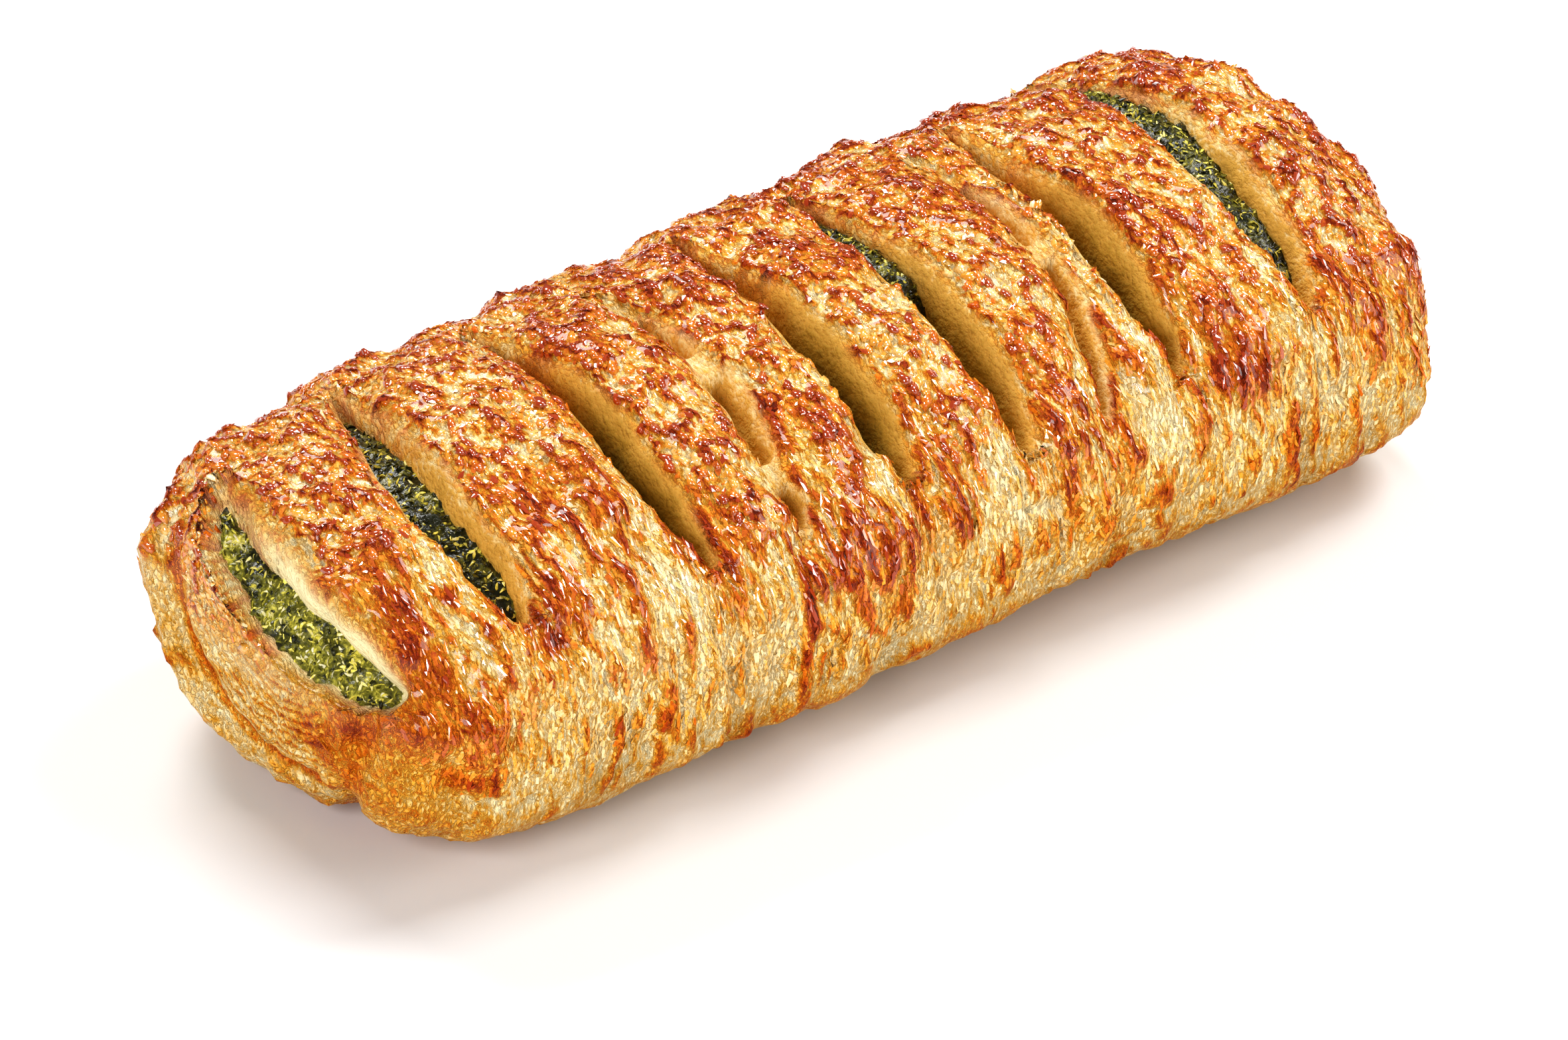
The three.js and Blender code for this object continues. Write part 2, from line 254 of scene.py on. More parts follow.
@dataclass(frozen=True)
class Roll:
    """Rounded loaf form that every other shape is laid on."""

    length: float = 149.0
    width: float = 68.6
    height: float = 42.5
    hub: float = 19.3
    sink: float = 1.2
    top_power: float = 2.05
    base_power: float = 3.2
    near_power: float = 4.7
    far_power: float = 8.0
    taper: float = 0.018
    shift: Range = (0.184, 0.365)
    probe: float = 0.05
    profile_radius: float = 27.0
    profile_steps: int = 20001

    def section_radius(self, angle: Array) -> Array:
        """Distance from the hub to the section's outline at an angle."""
        turn = np.radians(angle)
        sine, cosine = np.abs(np.sin(turn)), np.cos(turn)
        power = np.where(cosine > 0, self.top_power, self.base_power)
        rise = np.where(cosine > 0, self.height - self.hub, self.hub)
        return ((sine / (self.width / 2)) ** power + (np.abs(cosine) / rise) ** power) ** (-1 / power)

    def end_power(self, x: Array) -> Array:
        """How squarely the end that is nearer to a place closes."""
        return np.where(x < 0, self.near_power, self.far_power)

    def shrink(self, x: Array) -> Array:
        """Share of the full section that is left at a place along the roll."""
        n = self.end_power(x)
        return np.clip(1.0 - np.abs(2.0 * x / self.length) ** n, 0.0, 1.0) ** (1.0 / n)

    def points(self, x: Array, angle: Array) -> Array:
        """Points of the smooth roll.

        Args:
            x: Places along the roll.
            angle: Angles about it.

        Returns:
            One point for each place and angle.
        """
        x, angle = np.broadcast_arrays(x, angle)
        swell = 1.0 - self.taper * 2.0 * x / self.length
        radius = self.shrink(x) * swell * self.section_radius(angle)
        turn = np.radians(angle)
        return np.stack([x, -radius * np.sin(turn), self.hub + radius * np.cos(turn)], axis=-1)

    def level(self, points: Array) -> Array:
        """Superellipsoid level of points, which is 1 on the smooth roll."""
        x, y, z = points[..., 0], points[..., 1], points[..., 2] - self.hub
        reach = np.hypot(y, z) / self.section_radius(np.degrees(np.arctan2(-y, z)))
        n = self.end_power(x)
        return reach**n + np.abs(2.0 * x / self.length) ** n

    def normals(self, points: Array) -> Array:
        """Outward normals of the smooth roll at points on it."""
        steps = self.probe * np.eye(3)
        return unit(np.stack([self.level(points + s) - self.level(points - s) for s in steps], axis=-1))

    def stations(self, count: int) -> Array:
        """Places along the roll that are evenly spaced over its profile from end to end."""
        x = self.length / 2 * np.sin(np.pi * np.linspace(-0.5, 0.5, self.profile_steps))
        run = run_along(np.stack([x, self.profile_radius * self.shrink(x)], axis=-1))
        return np.interp(np.linspace(0.0, run[-1], count), run, x)

    def placed(self, points: Array) -> Array:
        """Points moved into the part's own frame, pressed flat on the floor, in metres."""
        moved = points + np.array([*self.shift, -self.sink])
        moved[..., 2] = np.maximum(moved[..., 2], 0.0)
        return moved * MM


@dataclass(frozen=True)
class Slit:
    """One slit across the top of the roll.

    At an angle, in units of span, its middle lies at x + lean * t + hook * t * t. It is fully deep
    only over the stretches in open, and a shallow valley elsewhere. The filling lies filling deep
    beside it and crest_filling deep in it on the crest. The far wall begins slope half widths from
    its middle, and toasted is how strongly painted shade darkens its walls.
    """

    x: float
    lean: float
    hook: float
    width: float
    back: float
    front: float
    depth: float = 8.0
    open: tuple[Range, ...] = ((-90.0, 90.0),)
    filling: float = 9.0
    crest_filling: float = 9.0
    slope: float = 1.1
    wall_shading: float = 1.0
    span: float = 60.0
    back_fade: float = 10.0
    fade: float = 15.0
    widest: float = 0.6
    blunt_powers: Range = (4.0, 0.55)
    fine_powers: Range = (1.8, 0.8)
    ramp: float = 2.0
    valley: float = 0.25
    least_half: float = 0.05
    near_wall: Ease = Ease(-1.04, -0.82)
    floor_edge: float = 0.3
    tip_power: float = 0.5

    def centre(self, angle: float | Array) -> Array:
        """Place of the slit's middle along the roll at an angle."""
        t = np.sign(angle) * np.minimum(np.abs(angle), HALF_TURN - np.abs(angle)) / self.span
        return self.x + self.lean * t + self.hook * t * t

    def presence(self, angle: Array) -> Array:
        """How fully the slit's valley is there at an angle, fading past the slit's tips."""
        inside = np.minimum(angle - self.back - self.back_fade, self.front - angle)
        return smoothstep(inside, -self.fade, self.fade)

    def gape(self, angle: Array) -> Array:
        """Share of the slit's full width at an angle, blunt at the front tip and fine at the back."""
        along = (angle - self.back) / (self.front - self.back)
        blunt = np.clip((along - self.widest) / (1.0 - self.widest), 0.0, 1.0)
        fine = np.clip((self.widest - along) / self.widest, 0.0, 1.0)
        front = (1.0 - blunt ** self.blunt_powers[0]) ** self.blunt_powers[1]
        return front * (1.0 - fine ** self.fine_powers[0]) ** self.fine_powers[1]

    def openness(self, angle: Array) -> Array:
        """1 where the slit is cut through and less where only its valley shows."""
        stretches = []
        for start, end in self.open:
            begun = smoothstep(angle, start - self.ramp, start + self.ramp)
            stretches.append(begun * smoothstep(angle, end + self.ramp, end - self.ramp))
        return np.maximum(np.max(stretches, axis=0), self.valley)

    def cut(self, x: Array, angle: Array, wander: Array) -> Array:
        """Share of the slit's depth at a place: a steep near wall and a sloping far wall.

        Args:
            x: Places along the roll.
            angle: Angles about it.
            wander: How far the slit's edges stray along the roll.

        Returns:
            0 outside the slit and up to 1 on its floor.
        """
        gape = self.gape(angle)
        half = np.maximum(self.width / 2 * gape, self.least_half)
        off = (x - self.centre(angle) + wander) / half
        near = self.near_wall(off)
        far = smoothstep(off, self.slope, self.floor_edge)
        return near * far * gape**self.tip_power * self.openness(angle)


# From the gaping near end to the far end.
SLITS = (
    Slit(-55.0, -5.2, 3.6, 5.6, -50.0, 62.0, filling=4.6, crest_filling=4.2, slope=1.5, wall_shading=0.6),
    Slit(-31.9, -1.2, 0.4, 4.7, -42.0, 67.0),
    Slit(-16.0, 0.2, -3.4, 3.6, -34.0, 69.0, 4.8, ((-16.0, 8.0), (19.0, 48.0), (57.0, 66.0)), wall_shading=0.5),
    Slit(-2.5, -1.2, 0.0, 5.4, -42.0, 66.0),
    Slit(13.8, -1.6, 0.0, 5.2, -42.0, 71.0, crest_filling=3.4, slope=1.25, wall_shading=0.8),
    Slit(29.8, 0.4, -5.0, 2.9, -32.0, 72.0, 4.4, ((-10.0, 20.0), (29.0, 71.0)), wall_shading=0.5),
    Slit(36.3, -0.8, -0.7, 4.9, -40.0, 70.0),
    Slit(56.6, -1.8, -0.3, 6.8, -68.0, 68.0, filling=4.2, crest_filling=2.2, slope=1.05, wall_shading=0.6),
)


@dataclass(frozen=True)
class EndGap:
    """Gap in the near end, between the arch of the first rib and the flap folded up from the base."""

    y: float = -3.4
    z: float = 31.0
    climb: float = 4.5
    bow: float = 1.3
    half_width: float = 18.9
    half_height: float = 5.8
    depth: float = 6.4
    low_filling: float = 0.8
    high_filling: float = 6.0
    back_power: float = 1.3
    front_power: float = 0.5
    least_lens: float = 0.01
    low_edge: Ease = Ease(-1.02, -0.86)
    high_edge: Ease = Ease(1.15, -0.25)
    tip_power: float = 0.4
    last_x: float = -50.0
    shelter_top: float = 1.1
    shelter_slope: float = 6.0
    shelter_depth: float = 5.0

    def along(self, points: Array) -> Array:
        """How far along the gap points are: -1 at its front tip and 1 at its back tip."""
        return (points[..., 1] - self.y) / self.half_width

    def lens(self, points: Array) -> Array:
        """Share of the gap's full height at points, from its fine back tip to its blunt front tip."""
        along = self.along(points)
        reach = np.clip(1.0 - along**2, 0.0, 1.0)
        return np.where(along > 0, reach**self.back_power, reach**self.front_power)

    def up(self, points: Array, wander: float | Array) -> Array:
        """How high points are in the gap: -1 on its lower edge and 1 on its upper one.

        Args:
            points: Points of the smooth roll.
            wander: How far the gap's edges stray.

        Returns:
            The heights.
        """
        along = self.along(points)
        middle = self.z + self.climb * along + self.bow * along**2
        tall = self.half_height * np.maximum(self.lens(points), self.least_lens)
        return (points[..., 2] - middle + wander) / tall

    def cut(self, points: Array, wander: Array) -> Array:
        """Share of the gap's depth at points of the near end.

        Args:
            points: Points of the smooth roll.
            wander: How far the gap's edges stray.

        Returns:
            0 outside the gap and up to 1 on its floor.
        """
        up = self.up(points, wander)
        share = self.low_edge(up) * self.high_edge(up)
        return np.where(points[..., 0] < self.last_x, share * self.lens(points) ** self.tip_power, 0.0)

    def filling_depth(self, points: Array) -> Array:
        """How deep the filling lies in the gap: nearly level with its lower edge, deeper under the arch."""
        up = self.up(points, 0.0)
        rise = np.clip((up + 1.0) / 2.0, 0.0, 1.0)
        past = np.maximum(-1.0 - up, up - self.shelter_top)
        sheltered = np.clip(past * self.shelter_slope, 0.0, self.shelter_depth)
        return self.low_filling + (self.high_filling - self.low_filling) * rise + sheltered


@dataclass(frozen=True)
class Folds:
    """Folds of the near end: a corner crease, a ridge round the corner and the flap's groove and rim."""

    zone: float = 17.0
    crease_y: float = -19.8
    crease_z: float = 24.2
    crease_lean: float = 0.44
    crease_width: float = 2.0
    crease_fade: float = 3.0
    crease_depth: float = 1.2
    ridge_x: float = -72.0
    ridge_angle: float = 77.0
    ridge_turn: float = 0.85
    ridge_width: float = 7.0
    ridge_start: Ease = Ease(18.0, 24.0)
    ridge_end: Ease = Ease(-57.0, -62.0)
    ridge_height: float = 1.6
    flap_y: float = -4.5
    flap_z: float = 30.0
    flap_width: float = 21.3
    flap_height: float = 20.5
    flap_start: Ease = Ease(-14.0, -5.0)
    rim: Bell = Bell(1.24, 0.16, 1.3)
    groove: Bell = Bell(1.0, 0.08, 1.3)
    tuck: Bell = Bell(-12.0, 5.0, 1.5)
    tuck_rise: Ease = Ease(5.0, 16.0)

    def share(self, roll: Roll, points: Array) -> Array:
        """1 on the near end, fading to 0 along the roll."""
        return smoothstep(-points[..., 0], roll.length / 2 - self.zone, roll.length / 2 - self.zone / 2)

    def ring(self, points: Array) -> Array:
        """How far out on the flap points are: 1 in the groove round it."""
        across = (points[..., 1] - self.flap_y) / self.flap_width
        return np.hypot(across, (points[..., 2] - self.flap_z) / self.flap_height)

    def crease(self, points: Array) -> Array:
        """1 in the crease of the front corner, falling to 0 beside it."""
        y, z = points[..., 1], points[..., 2]
        line = self.crease_y + self.crease_lean * (self.crease_z - z)
        fade = 1.0 - smoothstep(z, self.crease_z, self.crease_z + self.crease_fade)
        return bump((y - line) / self.crease_width) * fade

    def ridge(self, points: Array, angle: Array) -> Array:
        """1 on the ridge that runs round the front corner, falling to 0 beside it."""
        path = self.ridge_angle + self.ridge_turn * (points[..., 0] - self.ridge_x)
        ridge = bump((angle - path) / self.ridge_width) * self.ridge_start(-points[..., 1])
        return ridge * self.ridge_end(points[..., 0])

    def relief(self, roll: Roll, points: Array, angle: Array) -> Array:
        """Height of the folds over the smooth roll.

        Args:
            roll: The smooth roll.
            points: Points on it.
            angle: Their angles about it.

        Returns:
            Heights in millimetres.
        """
        y, z = points[..., 1], points[..., 2]
        ring = self.ring(points)
        flap = (self.rim(ring) - self.groove(ring)) * self.flap_start(y)
        tuck = self.tuck(y) * (1.0 - self.tuck_rise(z))
        folds = self.ridge_height * self.ridge(points, angle) - self.crease_depth * self.crease(points)
        return self.share(roll, points) * (folds + flap - tuck)


@dataclass(frozen=True)
class Patch:
    """Patch of the crust: its middle, its reach along the roll and round it, how brown and how raised."""

    x: float
    y: float
    z: float
    along: float
    around: float
    strength: float
    rise: float = 0.0

    def share(self, points: Array) -> Array:
        """1 in the middle of the patch, falling to 0 round it."""
        across = np.hypot(points[..., 1] - self.y, points[..., 2] - self.z) / self.around
        return bump(np.hypot((points[..., 0] - self.x) / self.along, across))


PATCHES = (
    # Browned edge of the first rib, from the crest down to the front corner.
    Patch(-65.2, -8.9, 38.3, 1.6, 4.0, 0.2),
    Patch(-67.4, -16.5, 35.0, 1.6, 4.0, 0.18),
    Patch(-68.9, -21.0, 31.4, 1.4, 3.0, 0.2),
    Patch(-67.8, -24.4, 29.2, 1.4, 1.8, 0.22),
    Patch(-65.5, -28.2, 26.1, 1.4, 1.5, 0.26),
    Patch(-61.9, -31.1, 22.0, 1.4, 1.5, 0.28),
    # Browned spots of the near end.
    Patch(-62.3, -19.6, 35.5, 1.2, 1.3, 0.65),
    Patch(-55.0, -28.0, 31.1, 1.6, 1.8, 0.70),
    Patch(-57.9, -22.8, 34.8, 1.0, 1.2, 0.55),
    Patch(-69.0, -27.7, 18.1, 2.0, 1.6, 0.55),
    Patch(-65.8, -29.8, 17.3, 1.4, 1.6, 0.60),
    Patch(-74.9, -11.1, 18.0, 2.5, 3.2, 0.35),
    Patch(-74.5, -16.2, 21.6, 2.5, 2.4, 0.35),
    # Browned patches of the ribs and the flank, from the near end on.
    Patch(-40.5, -11.9, 40.8, 3.5, 4.0, 0.20),
    Patch(-48.2, -17.5, 38.7, 2.2, 3.0, 0.25),
    Patch(-40.7, -19.1, 38.5, 2.0, 3.0, 0.35),
    Patch(-41.2, -23.8, 35.9, 1.5, 2.0, 0.35),
    Patch(-27.3, -20.8, 37.8, 1.5, 4.0, 0.35),
    Patch(-25.0, -25.4, 35.1, 1.4, 4.0, 0.30),
    Patch(-22.3, -31.6, 28.9, 1.3, 4.0, 0.50),
    Patch(-23.1, -33.9, 24.3, 1.1, 3.2, 0.55),
    Patch(-9.2, -32.6, 27.0, 1.2, 3.5, 0.40),
    Patch(-10.2, -34.6, 20.1, 1.1, 3.0, 0.55),
    Patch(-12.7, -27.4, 33.6, 1.6, 1.6, 0.40),
    Patch(-3.7, -27.4, 33.5, 1.2, 4.0, 0.35),
    Patch(-4.9, -31.6, 28.8, 1.2, 3.0, 0.30),
    Patch(2.6, -24.5, 35.6, 2.0, 5.0, 0.25),
    Patch(10.4, -34.4, 19.8, 1.5, 2.5, 0.40),
    Patch(14.7, -33.9, 22.9, 1.5, 4.0, 0.40),
    Patch(15.4, -30.9, 29.4, 1.5, 3.0, 0.40),
    Patch(20.9, -29.8, 30.8, 1.5, 4.0, 0.35),
    Patch(24.2, -27.3, 33.3, 1.3, 5.0, 0.40),
    Patch(27.5, -21.3, 37.4, 1.3, 5.0, 0.40),
    Patch(38.6, -30.8, 29.2, 2.0, 3.0, 0.40),
    Patch(33.9, -33.7, 23.2, 1.2, 3.0, 0.40),
    Patch(42.3, -32.0, 27.3, 1.6, 3.0, 0.35),
    Patch(48.8, -31.2, 28.4, 1.6, 2.0, 0.45),
    Patch(60.9, -26.7, 32.9, 2.0, 4.0, 0.30),
    Patch(59.0, -31.7, 26.6, 2.0, 4.0, 0.35),
    Patch(69.4, -25.2, 31.9, 2.5, 4.0, 0.35),
    Patch(52.8, -33.8, 15.5, 1.5, 1.5, 0.30),
    # Pale patches.
    Patch(-38.5, -29.3, 31.6, 2.6, 4.0, -0.30),
    Patch(-34.5, -34.0, 23.7, 3.5, 4.0, -0.20),
    Patch(-47.9, -33.0, 24.9, 4.0, 5.0, -0.12),
    Patch(-14.1, -26.7, 34.1, 1.5, 3.5, -0.30),
    Patch(-18.3, -30.1, 30.9, 1.5, 3.5, -0.25),
    Patch(0.2, -34.3, 21.3, 3.0, 5.0, -0.20),
    Patch(7.1, -30.9, 29.5, 1.8, 3.5, -0.30),
    Patch(27.5, -30.9, 29.2, 2.0, 3.5, -0.30),
    Patch(53.9, -33.0, 24.3, 4.0, 5.0, -0.22),
    Patch(-19.1, 3.8, 42.2, 2.4, 3.0, -0.70),
    Patch(-19.6, 10.1, 41.5, 2.4, 3.0, -0.60),
    Patch(-31.4, 10.6, 41.3, 2.4, 3.0, -0.70),
    Patch(12.8, 0.5, 42.2, 2.4, 4.0, -0.70),
    # Pale raised blisters.
    Patch(9.0, -33.8, 24.2, 2.6, 2.2, -0.40, 0.9),
    Patch(12.6, -33.6, 22.8, 1.7, 1.5, -0.35, 0.8),
    Patch(-64.9, -30.0, 13.9, 1.8, 1.4, -0.20, 0.9),
)


@dataclass(frozen=True)
class Surface:
    """Relief of the baked crust over the smooth roll, shared by the crust and the filling."""

    roll: Roll = field(default_factory=Roll)
    gap: EndGap = field(default_factory=EndGap)
    folds: Folds = field(default_factory=Folds)
    rib_rise: float = 1.3
    rib_zone: Ease = Ease(15.0, 32.0)
    lip_drop: float = 1.3
    lip_run: float = 3.2
    lip_reach: float = 1.5
    full_slit: float = 4.0
    top_zone: Ease = Ease(19.0, 34.0)
    side_zone: Ease = Ease(4.0, 12.0)
    side_ends: Ease = Ease(0.5, 0.9)
    waist_depth: float = 1.5
    heel: Bell = Bell(122.0, 26.0, 1.8)
    swells: Pattern = Pattern(17.0, 0.0, 0.9)
    crags: Pattern = Pattern(5.0, 40.0, 1.3)
    wrinkles: Streaks = Streaks(4.6, 4.6, 7.0)
    wrinkle_stretch: float = 0.3
    wrinkle_height: float = 1.2
    wrinkle_end: Ease = Ease(165.0, 135.0)
    gap_edge: Pattern = Pattern(4.0, 12.0, 0.7)
    slit_edge: Pattern = Pattern(4.5, 20.0, 0.5)
    slit_seed_step: float = 9.0
    wall_shading_reach: float = 2.0
    filling_deep: float = 9.0
    filling_reach: float = 9.0
    crest_front: Ease = Ease(30.0, 6.0)
    crest_back: Ease = Ease(-60.0, -40.0)
    crest_reach: float = 0.75
    near_end: Ease = Ease(-61.0, -67.0)

    def ribs(self, points: Array, angle: Array) -> Array:
        """Ribs that swell between the slits and fall into them."""
        height = np.full(angle.shape, self.rib_rise)
        for slit in SLITS:
            dip = bump((points[..., 0] - slit.centre(angle)) / self.lip_run) * slit.presence(angle)
            height -= (self.rib_rise + self.lip_drop * min(slit.width / self.full_slit, 1.0)) * dip
        return height * self.rib_zone(points[..., 2])

    def apart(self, points: Array, angle: Array) -> Array:
        """1 away from the slits, falling to 0 at their lips."""
        share = np.ones(angle.shape)
        for slit in SLITS:
            off = (points[..., 0] - slit.centre(angle)) / (slit.width / 2 + self.lip_reach)
            share = np.minimum(share, 1.0 - bump(off) * slit.presence(angle))
        return share

    def wrinkle(self, x: Array, angle: Array) -> Array:
        """Upright wrinkles of the flanks, from -1 to 1."""
        return self.wrinkles.at(x, self.wrinkle_stretch * np.radians(angle) * self.roll.width / 2)

    def bulk(self, points: Array, angle: Array) -> Array:
        """Height of the uncut crust: ribs, waist, swells, crags, wrinkles and folds.

        Args:
            points: Points of the smooth roll.
            angle: Their angles about it.

        Returns:
            Heights in millimetres.
        """
        x, z = points[..., 0], points[..., 2]
        top = self.top_zone(z)
        side = self.side_zone(z) * (1.0 - top) * self.side_ends(self.roll.shrink(x))
        wrinkle = self.wrinkle_height * self.wrinkle(x, angle) * self.wrinkle_end(np.abs(angle))
        middle = 1.0 - (2.0 * x / self.roll.length) ** 2
        waist = middle * (self.waist_depth * np.abs(np.sin(np.radians(angle))) + self.heel(np.abs(angle)))
        crags = top * self.crags.lumps(points) * self.apart(points, angle)
        uneven = self.swells.lumps(points) + crags + wrinkle * side
        return self.ribs(points, angle) - waist + uneven + self.folds.relief(self.roll, points, angle)

    def slit_cut(self, points: Array, angle: Array) -> Array:
        """Depth of the slits and the end gap under the uncut crust, in millimetres.

        Args:
            points: Points of the smooth roll.
            angle: Their angles about it.

        Returns:
            The depths, which are 0 outside the openings.
        """
        depth = self.gap.depth * self.gap.cut(points, self.gap_edge.lumps(points))
        for number, slit in enumerate(SLITS):
            edge = replace(self.slit_edge, seed=self.slit_edge.seed + self.slit_seed_step * number)
            depth = np.maximum(depth, slit.depth * slit.cut(points[..., 0], angle, edge.lumps(points)))
        return depth

    def wall_shading(self, points: Array, angle: Array) -> Array:
        """How strongly painted shade darkens the walls of the openings, from 0 to 1."""
        share = np.ones(angle.shape)
        for slit in SLITS:
            off = (points[..., 0] - slit.centre(angle)) / (self.wall_shading_reach * slit.width)
            share -= (1.0 - slit.wall_shading) * bump(off)
        return share

    def filling_depth(self, points: Array) -> Array:
        """How deep the filling lies under the smooth roll: it stands high in the end openings.

        Args:
            points: Points of the smooth roll.

        Returns:
            Depths in millimetres.
        """
        x = points[..., 0]
        angle = np.degrees(np.arctan2(-points[..., 1], points[..., 2] - self.roll.hub))
        crest = self.crest_front(angle) * self.crest_back(angle)
        depth = np.full(x.shape, self.filling_deep)
        for slit in SLITS:
            rise = (self.filling_deep - slit.filling) * bump((x - slit.x) / self.filling_reach)
            depth = np.minimum(depth, self.filling_deep - rise)
        for slit in SLITS:
            inside = crest * bump((x - slit.centre(angle)) / (self.crest_reach * slit.width))
            depth = depth + np.minimum(slit.crest_filling - depth, 0.0) * inside
        near = self.near_end(x)
        return depth + (self.gap.filling_depth(points) - depth) * near


def grid_faces(rows: int, columns: int) -> Array:
    """Quads of a closed tube: rows go round it and columns along it.

    Args:
        rows: Number of points round the tube.
        columns: Number of points along it.

    Returns:
        Corner numbers of each quad, with row-major points.
    """
    r, c = np.meshgrid(np.arange(rows), np.arange(columns - 1), indexing="ij")
    here, beside = r * columns + c, (r + 1) % rows * columns + c
    return np.stack([here, here + 1, beside + 1, beside], axis=-1).reshape(-1, 4)


def grid_normals(points: Array) -> Array:
    """Normals of a closed tube of points, shaped rows round it by columns along it.

    Args:
        points: The tube's points.

    Returns:
        One unit normal for each point, pointing out of the tube.
    """
    along = np.gradient(points, axis=1)
    round_it = np.roll(points, -1, axis=0) - np.roll(points, 1, axis=0)
    return unit(np.cross(along, round_it))


def cavity(points: Array, reach: int) -> Array:
    """How hollow a closed tube of points is at each point, in millimetres, below 0 on ridges.

    Args:
        points: The tube's points, rows round it by columns along it.
        reach: How many points away the neighbours are that each point is compared with.

    Returns:
        Height of the neighbours' mean over each point.
    """
    padded = np.pad(points, ((0, 0), (reach, reach), (0, 0)), mode="edge")
    across = padded[:, 2 * reach :] + padded[:, : -2 * reach]
    around = np.roll(points, reach, axis=0) + np.roll(points, -reach, axis=0)
    return np.einsum("rcx,rcx->rc", (across + around) / 4.0 - points, grid_normals(points))


def make_piece(name: str, points: Array, faces: Sequence[Sequence[int]], masks: Masks) -> Piece:
    """Makes a smooth mesh object from points in metres.

    Args:
        name: Name of the piece.
        points: Its points.
        faces: Corner numbers of its faces.
        masks: Number for each point, by attribute name.

    Returns:
        The object, linked to the scene.
    """
    mesh = bpy.data.meshes.new(name)
    mesh.from_pydata(points.tolist(), [], [list(map(int, f)) for f in faces])
    mesh.update()
    mesh.polygons.foreach_set("use_smooth", np.ones(len(mesh.polygons), dtype=bool))
    for mask, values in masks.items():
        layer = mesh.attributes.new(mask, "FLOAT", "POINT")
        layer.data.foreach_set("value", np.asarray(values, dtype=np.float32).ravel())
    made = bpy.data.objects.new(name, mesh)
    bpy.context.scene.collection.objects.link(made)
    return made


def tube_piece(name: str, points: Array, roll: Roll, masks: Masks) -> Piece:
    """Closes a tube of points with a point at each end and makes a piece of it.

    Args:
        name: Name of the piece.
        points: Rows round the tube by columns along it, in millimetres.
        roll: The roll that places it.
        masks: Number for each point of the tube, by attribute name.

    Returns:
        The piece.
    """
    rows, columns = points.shape[:2]
    ends = np.stack([points[:, 0].mean(axis=0), points[:, -1].mean(axis=0)])
    every = np.concatenate([points.reshape(-1, 3), ends])
    faces = grid_faces(rows, columns).tolist()
    first, last = rows * columns, rows * columns + 1
    for r in range(rows):
        ahead = (r + 1) % rows
        faces.append([first, r * columns, ahead * columns])
        faces.append([last, ahead * columns + columns - 1, r * columns + columns - 1])
    closed = {m: np.concatenate([v.ravel(), [v[:, 0].mean(), v[:, -1].mean()]]) for m, v in masks.items()}
    return make_piece(name, roll.placed(every), faces, closed)


def merge_flat(piece: Piece) -> None:
    """Merges the faces of a piece's flat underside, which no relief needs."""
    whole = bmesh.new()
    whole.from_mesh(piece.data)
    flat = [v for v in whole.verts if v.co.z < FLOOR_LEVEL]
    edges = [e for e in whole.edges if max(v.co.z for v in e.verts) < FLOOR_LEVEL]
    bmesh.ops.dissolve_limit(whole, angle_limit=math.radians(FLAT_ANGLE), verts=flat, edges=edges)
    whole.to_mesh(piece.data)
    whole.free()


